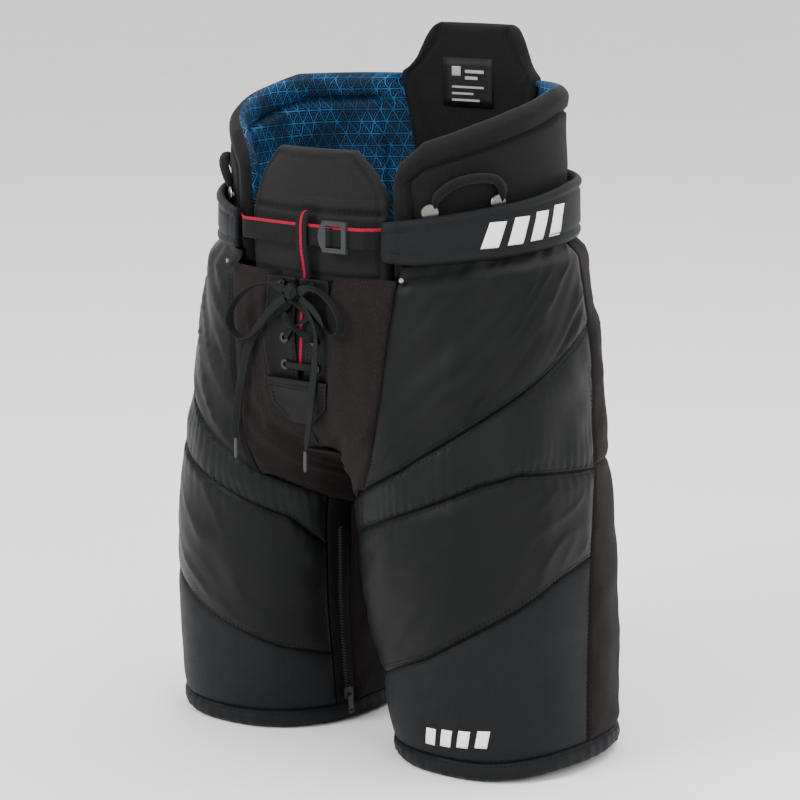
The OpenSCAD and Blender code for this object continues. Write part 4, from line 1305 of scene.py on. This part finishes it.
def lacing():
    """The crossings between the eyelets, the lowest one straight and the upper ones twisted."""
    r = EYELET_ROWS
    spans = [((-1, 0), (1, 0), 1.0, 0), ((-1, 1), (1, 2), 1.2, 70), ((1, 1), (-1, 2), 4.6, -80),
             ((-1, 2), (1, 3), 1.3, 60), ((1, 2), (-1, 3), 4.6, -60)]
    for k, ((sa, ra), (sb, rb), lift, twist) in enumerate(spans):
        u = np.linspace(0, 1, 13)
        xa, xb = sa * EYELET_X, sb * EYELET_X
        line = np.array([fly_point(lerp(xa, xb, t), lerp(r[ra], r[rb], t),
                                   lerp(1.5, 4.9 + lift, math.sin(math.pi * t) ** 0.35)) for t in u])
        obj = sweep(f"lacing_{k}", spline(line, 3), LACE_W * 0.8, LACE_T * 0.9, FORWARD, [LACE],
                    turn=twist * np.sin(np.linspace(0, math.pi, 37)) ** 2 if twist else None, sides=14,
                    relief=ribs)
        carry(obj, "hips", *(["lace_lacing"] if k == 0 else []), slot="lace")


lacing()

# ---------------------------------------------------------------- stitches

def surface_tree(objects):
    points, faces = [], []
    for obj in objects:
        start = len(points)
        points += [v.co.copy() for v in obj.data.vertices]
        faces += [tuple(start + k for k in p.vertices) for p in obj.data.polygons]
    return BVHTree.FromPolygons(points, faces)


# Place along a stitch, share of its full width, share of its full height
STITCH = ((0, 0.35, 0.05), (0.2, 1, 0.8), (0.5, 1, 1), (0.8, 1, 0.8), (1, 0.35, 0.05))


def dash_mesh(name, dashes, material, width=0.75, height=0.5):
    """Many small stitches in one piece: each from a to b along a surface with normal n, in mm."""
    verts, faces = [], []
    for a, b, n in dashes:
        a, b, n = np.array(a), np.array(b), np.array(n)
        t = b - a
        length = np.linalg.norm(t)
        if length < 0.3:
            continue
        t = t / length
        side = np.cross(n, t)
        side /= max(np.linalg.norm(side), 1e-6)
        k = len(verts)
        for place, wide, high in STITCH:
            c = a + t * length * place
            for s, h in ((-1, -0.5), (-0.7, high), (0.7, high), (1, -0.5)):
                verts.append((c + side * s * wide * width / 2 + n * h * height) * MM)
        for r in range(4):
            for s in range(4):
                q = (s + 1) % 4
                faces.append((k + r * 4 + s, k + r * 4 + q, k + r * 4 + 4 + q, k + r * 4 + 4 + s))
        faces.append((k + 3, k + 2, k + 1, k))
        faces.append((k + 16, k + 17, k + 18, k + 19))
    return mesh_object(name, [tuple(v) for v in verts], faces, [material])


def stitch_line(tree, points, normals, pitch=4.2, filled=0.6, sign=1):
    """Dashes along a line of points, dropped onto the cloth from outside."""
    s = lengths(points, 0)
    out = []
    for start in np.arange(0, s[-1] - pitch, pitch):
        ends = []
        for at in (start, start + pitch * filled):
            p = np.array([np.interp(at, s, points[:, k]) for k in range(3)])
            n = np.array([np.interp(at, s, normals[:, k]) for k in range(3)])
            n /= np.linalg.norm(n)
            p, n = p * [sign, 1, 1], n * [sign, 1, 1]
            hit, normal, _, _ = tree.ray_cast(Vector((p + n * 14) * MM), Vector(-n), 0.030)
            if hit is None:
                break
            ends.append((np.array(hit) / MM, np.array(normal)))
        if len(ends) == 2 and np.linalg.norm(ends[0][0] - ends[1][0]) < pitch * 1.2:
            normal = ends[0][1] if np.dot(ends[0][1], n) > 0 else -ends[0][1]
            out.append((ends[0][0], ends[1][0], normal))
    return out


def seam_points(theta, z, shift=0.0):
    """A seam on the body moved sideways along the surface, with its normals."""
    p = body(theta, z)
    n = (body(theta, z, 4.0) - p) / 4.0
    t = np.gradient(p, axis=0)
    t /= np.linalg.norm(t, axis=1, keepdims=True)
    side = np.cross(n, t)
    side /= np.linalg.norm(side, axis=1, keepdims=True)
    return p + side * shift, n


def leg_stitches(side, mirror):
    tree = surface_tree(SURFACES[side])
    sign = -1 if mirror else 1
    bag = []

    def across(seam, t0, t1, shifts):
        t = np.linspace(t0, t1, 160)
        for shift in shifts:
            bag.extend(stitch_line(tree, *seam_points(t, seam(t), shift), sign=sign))

    def upward(line, z0, z1, shift):
        z = np.linspace(z0, z1, 120)
        bag.extend(stitch_line(tree, *seam_points(line(z), z, shift), sign=sign))

    across(UPPER_SEAM, -56, 110, (4.0, -3.4))
    across(GATHER_SEAM, -56, 110, (3.4, -3.4))
    across(LOWER_SEAM, -66, 99, (3.2, 5.6))
    across(lambda t: HEM_TOP - 2.5 + hem_lift(t), -66, 290, (0.0,))
    upward(SIDE_SEAM, 25, 440, 4.0)
    upward(ZIP_SEAM, 24, 205, 3.0)
    upward(gusset_seam, 256, 428, -3.2)
    carry_leg(dash_mesh(f"{side}_stitches", bag, THREAD_DARK), side)


for side, mirror, _ in SIDES:
    leg_stitches(side, mirror)


def fly_stitches():
    below = ("left_placket_cloth", "right_placket_cloth", "fly_flap_cloth")
    tree = surface_tree([bpy.data.objects[name] for name in below])
    bag = []

    def line(points):
        p = np.array([(x, front_y(x, z), z) for x, z in points], float)
        return stitch_line(tree, p, np.tile([0.0, -1.0, 0.0], (len(p), 1)), pitch=3.6)

    for s in (-1, 1):
        bag += line([(FLY_X + s * 30, 341), (FLY_X + s * 36, 372), (FLY_X + s * 31, 428)])
        bag += line([(FLY_X + s * 8, 341), (FLY_X + s * 8, 428)])
        bag += line([(FLY_X + s * 30, 339), (FLY_X + s * 27, 320), (FLY_X + s * 12, 306)])
    for z in (336.5, 333.5):
        bag += line([(FLY_X - 32, z), (FLY_X + 32, z)])
    carry(dash_mesh("fly_stitches", bag, THREAD_DARK), "hips")
    rust = []
    skin = surface_tree(SURFACES["left"] + SURFACES["right"])
    for s in (-1, 1):
        x = np.linspace(40, 92, 30) * s
        z = 428 + 0.16 * (np.abs(x) - 40)
        p = np.stack([x, front_y(x, z), z], axis=1)
        rust += stitch_line(skin, p, np.tile([0.15 * s, -1.0, 0.0], (len(p), 1)), pitch=3.4)
    carry(dash_mesh("gusset_top_stitches", rust, THREAD_RUST), "hips")


fly_stitches()

ZIP_LOW, ZIP_HIGH = 24.0, 196.0
TOOTH_PITCH = 1.5
TAPE_FACES = (-0.955, -0.25, 0.0)   # the way the left tape looks


def zip_teeth():
    """Two rows of small teeth up the middle of each tape, meeting in one chain."""
    ends = [body(ZIP_SEAM(z) - ZIP_TAPE_ANGLE / 2, z) for z in (ZIP_LOW, ZIP_HIGH)]
    up = (ends[1] - ends[0]) / np.linalg.norm(ends[1] - ends[0])
    across = np.cross(up, np.array(TAPE_FACES))
    across /= np.linalg.norm(across)
    out = np.cross(across, up)
    out = out if out[0] < 0 else -out
    count = int(np.linalg.norm(ends[1] - ends[0]) / TOOTH_PITCH)
    for side, mirror, _ in SIDES:
        sign = np.array([-1, 1, 1]) if mirror else np.array([1, 1, 1])
        bag = []
        for k in range(count):
            p = ends[0] + up * TOOTH_PITCH * k
            t = float(ZIP_SEAM(p[2])) - ZIP_TAPE_ANGLE / 2
            p = body(t, p[2], 0.5)
            s = 1 if k % 2 else -1
            a, b = p - across * s * 0.4, p + across * s * 2.2
            bag.append((a * sign, b * sign, out * sign))
        carry_leg(dash_mesh(f"{side}_zip_teeth", bag, ZIP_METAL, width=1.0, height=1.0), side)


zip_teeth()


def buckle_wrap():
    """The webbing where it folds over the buckle's bar."""
    line = spline([(27.2, -134.6, BELT_Z + 1), (28.2, -136.6, BELT_Z + 1), (31, -137.3, BELT_Z + 1),
                   (34, -136.9, BELT_Z + 1), (35.4, -134.6, BELT_Z + 1)], 6)
    carry(strap("buckle_wrap_cloth", line, 17.0, 1.4, (0, 0, 1), [BELT_CLOTH]), "belt_buckle")


buckle_wrap()

# ---------------------------------------------------------------- prints, patches and labels


def patch(name, corners, off, thick, material):
    """A thin sewn patch inside the waist: its corners are (angle, height)."""
    (t0, z0), (t1, z1), (t2, z2), (t3, z3) = corners
    u, v = np.meshgrid(np.linspace(0, 1, 9), np.linspace(0, 1, 7))
    theta = lerp(lerp(t0, t1, u), lerp(t3, t2, u), v)
    z = lerp(lerp(z0, z1, u), lerp(z3, z2, u), v)
    outer = ring(WAIST, theta, z, off)
    inner = ring(WAIST, theta, z, off - thick)
    return carry(shell_object(name, outer, inner, [material]), "hips")


def inside_label():
    """A blank sewn label with plain light blocks inside the spine guard."""
    base = patch("label_patch", [(194, 561), (171, 561), (171, 606), (194, 606)], -17.2, -0.7, LABEL)
    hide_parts("care_label")
    for k, (t0, t1, z0, z1) in enumerate(((190, 186, 589, 598), (184, 175, 592, 595), (184, 178, 586, 589),
                                          (190, 175, 578, 580), (190, 180, 572, 574), (190, 177, 566, 568))):
        patch(f"label_block_{k}", [(t0, z0), (t1, z0), (t1, z1), (t0, z1)], -17.9, -0.25, LABEL_INK)


inside_label()

PRINT_T = 0.25


def hug(name, grid, under):
    """A thin print that lies on the cloth below it."""
    tree = surface_tree([bpy.data.objects[under]])
    n = normals_of(grid)
    laid = []
    for p, m in zip(grid.reshape(-1, 3), n.reshape(-1, 3)):
        hit = tree.ray_cast(Vector((p + m * 14) * MM), Vector(-m), 0.03)[0]
        laid.append(np.array(hit) / MM if hit is not None else p)
    lay = np.array(laid).reshape(grid.shape)
    return shell_object(name, lay + n * PRINT_T, lay - n * 0.3, [WHITE_PRINT])


def print_bars():
    """Plain slanted bars where the band and the near leg carry a print."""
    for k, t in enumerate((61, 71, 81, 91)):
        low, high = float(BAND_LOW(t)) + 11, float(BAND_HIGH(t)) - 12
        u, v = np.meshgrid(np.linspace(0, 1, 9), np.linspace(0, 1, 9))
        theta = t + 6.4 * u + 3.2 * (v - 0.5)
        z = lerp(low, high, v) + 0.35 * (u - 0.5)
        carry(hug(f"band_print_{k}", ring(BAND, theta, z), "left_band_cover"), "hips")
    for k, t in enumerate((-4, 6, 16, 26)):
        u, v = np.meshgrid(np.linspace(0, 1, 9), np.linspace(0, 1, 7))
        theta = t + 6.2 * u + 3.0 * (v - 0.5)
        z = 29 + 16 * v + 0.12 * (t + 4)
        carry_leg(hug(f"leg_print_{k}", body(theta, z), "left_lower_cloth"), "left")


print_bars()

# ---------------------------------------------------------------- hardware kept from the CAD


def dress(node, material, bevel):
    """A CAD node shown as it is, with its edges rounded and a material of its own."""
    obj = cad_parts[node]
    obj.data.materials.clear()
    obj.data.materials.append(material)
    mod = obj.modifiers.new("round", "BEVEL")
    mod.width = bevel * MM
    mod.segments = 3
    mod.limit_method = "ANGLE"
    mod.angle_limit = math.radians(40)
    mod.harden_normals = True


for node, material, bevel in (
    ("eyelets", GUNMETAL, 0.25), ("buckle", GREY_PLASTIC, 0.6), ("suspender_buttons", CHROME, 0.3),
    ("band_rivets", RIVET, 0.4), ("left_zip_slider", ZIP_METAL, 0.4), ("right_zip_slider", ZIP_METAL, 0.4),
):
    dress(node, material, bevel)

# ---------------------------------------------------------------- floor, backdrop and lights


WORLD_STRENGTH = 1.3
# Name, place in metres, width in metres, power in watts
LAMPS = (
    ("key", (-0.9, -2.9, 2.4), 1.5, 120),
    ("fill", (2.6, -1.0, 1.6), 1.8, 35),
    ("top", (0.4, 0.7, 3.0), 2.2, 70),
)
LAMPS_LOOK_AT = Vector((0, 0, 0.3))


def studio():
    """A pale floor, an even sky and three soft lamps."""
    paper = Nodes("paper")
    cloud = paper.noise(3, 3)
    paper.set(Base_Color=paper.mix(cloud, (0.88, 0.88, 0.88), (0.93, 0.93, 0.93)))
    paper.set(Roughness=paper.math("MULTIPLY_ADD", cloud, 0.05, 0.88))
    bpy.ops.mesh.primitive_plane_add(size=30, location=(0, 0, -0.0005))
    floor = bpy.context.object
    floor.name = "floor"
    floor.data.materials.append(paper.material)
    world = bpy.data.worlds.new("studio")
    bpy.context.scene.world = world
    world.use_nodes = True
    background = world.node_tree.nodes["Background"]
    background.inputs[0].default_value = (1, 1, 1, 1)
    background.inputs[1].default_value = WORLD_STRENGTH
    for name, place, size, energy in LAMPS:
        data = bpy.data.lights.new(name, "AREA")
        data.size, data.energy = size, energy
        lamp = bpy.data.objects.new(name, data)
        lamp.location = place
        lamp.rotation_euler = (LAMPS_LOOK_AT - Vector(place)).to_track_quat("-Z", "Y").to_euler()
        bpy.context.collection.objects.link(lamp)


studio()
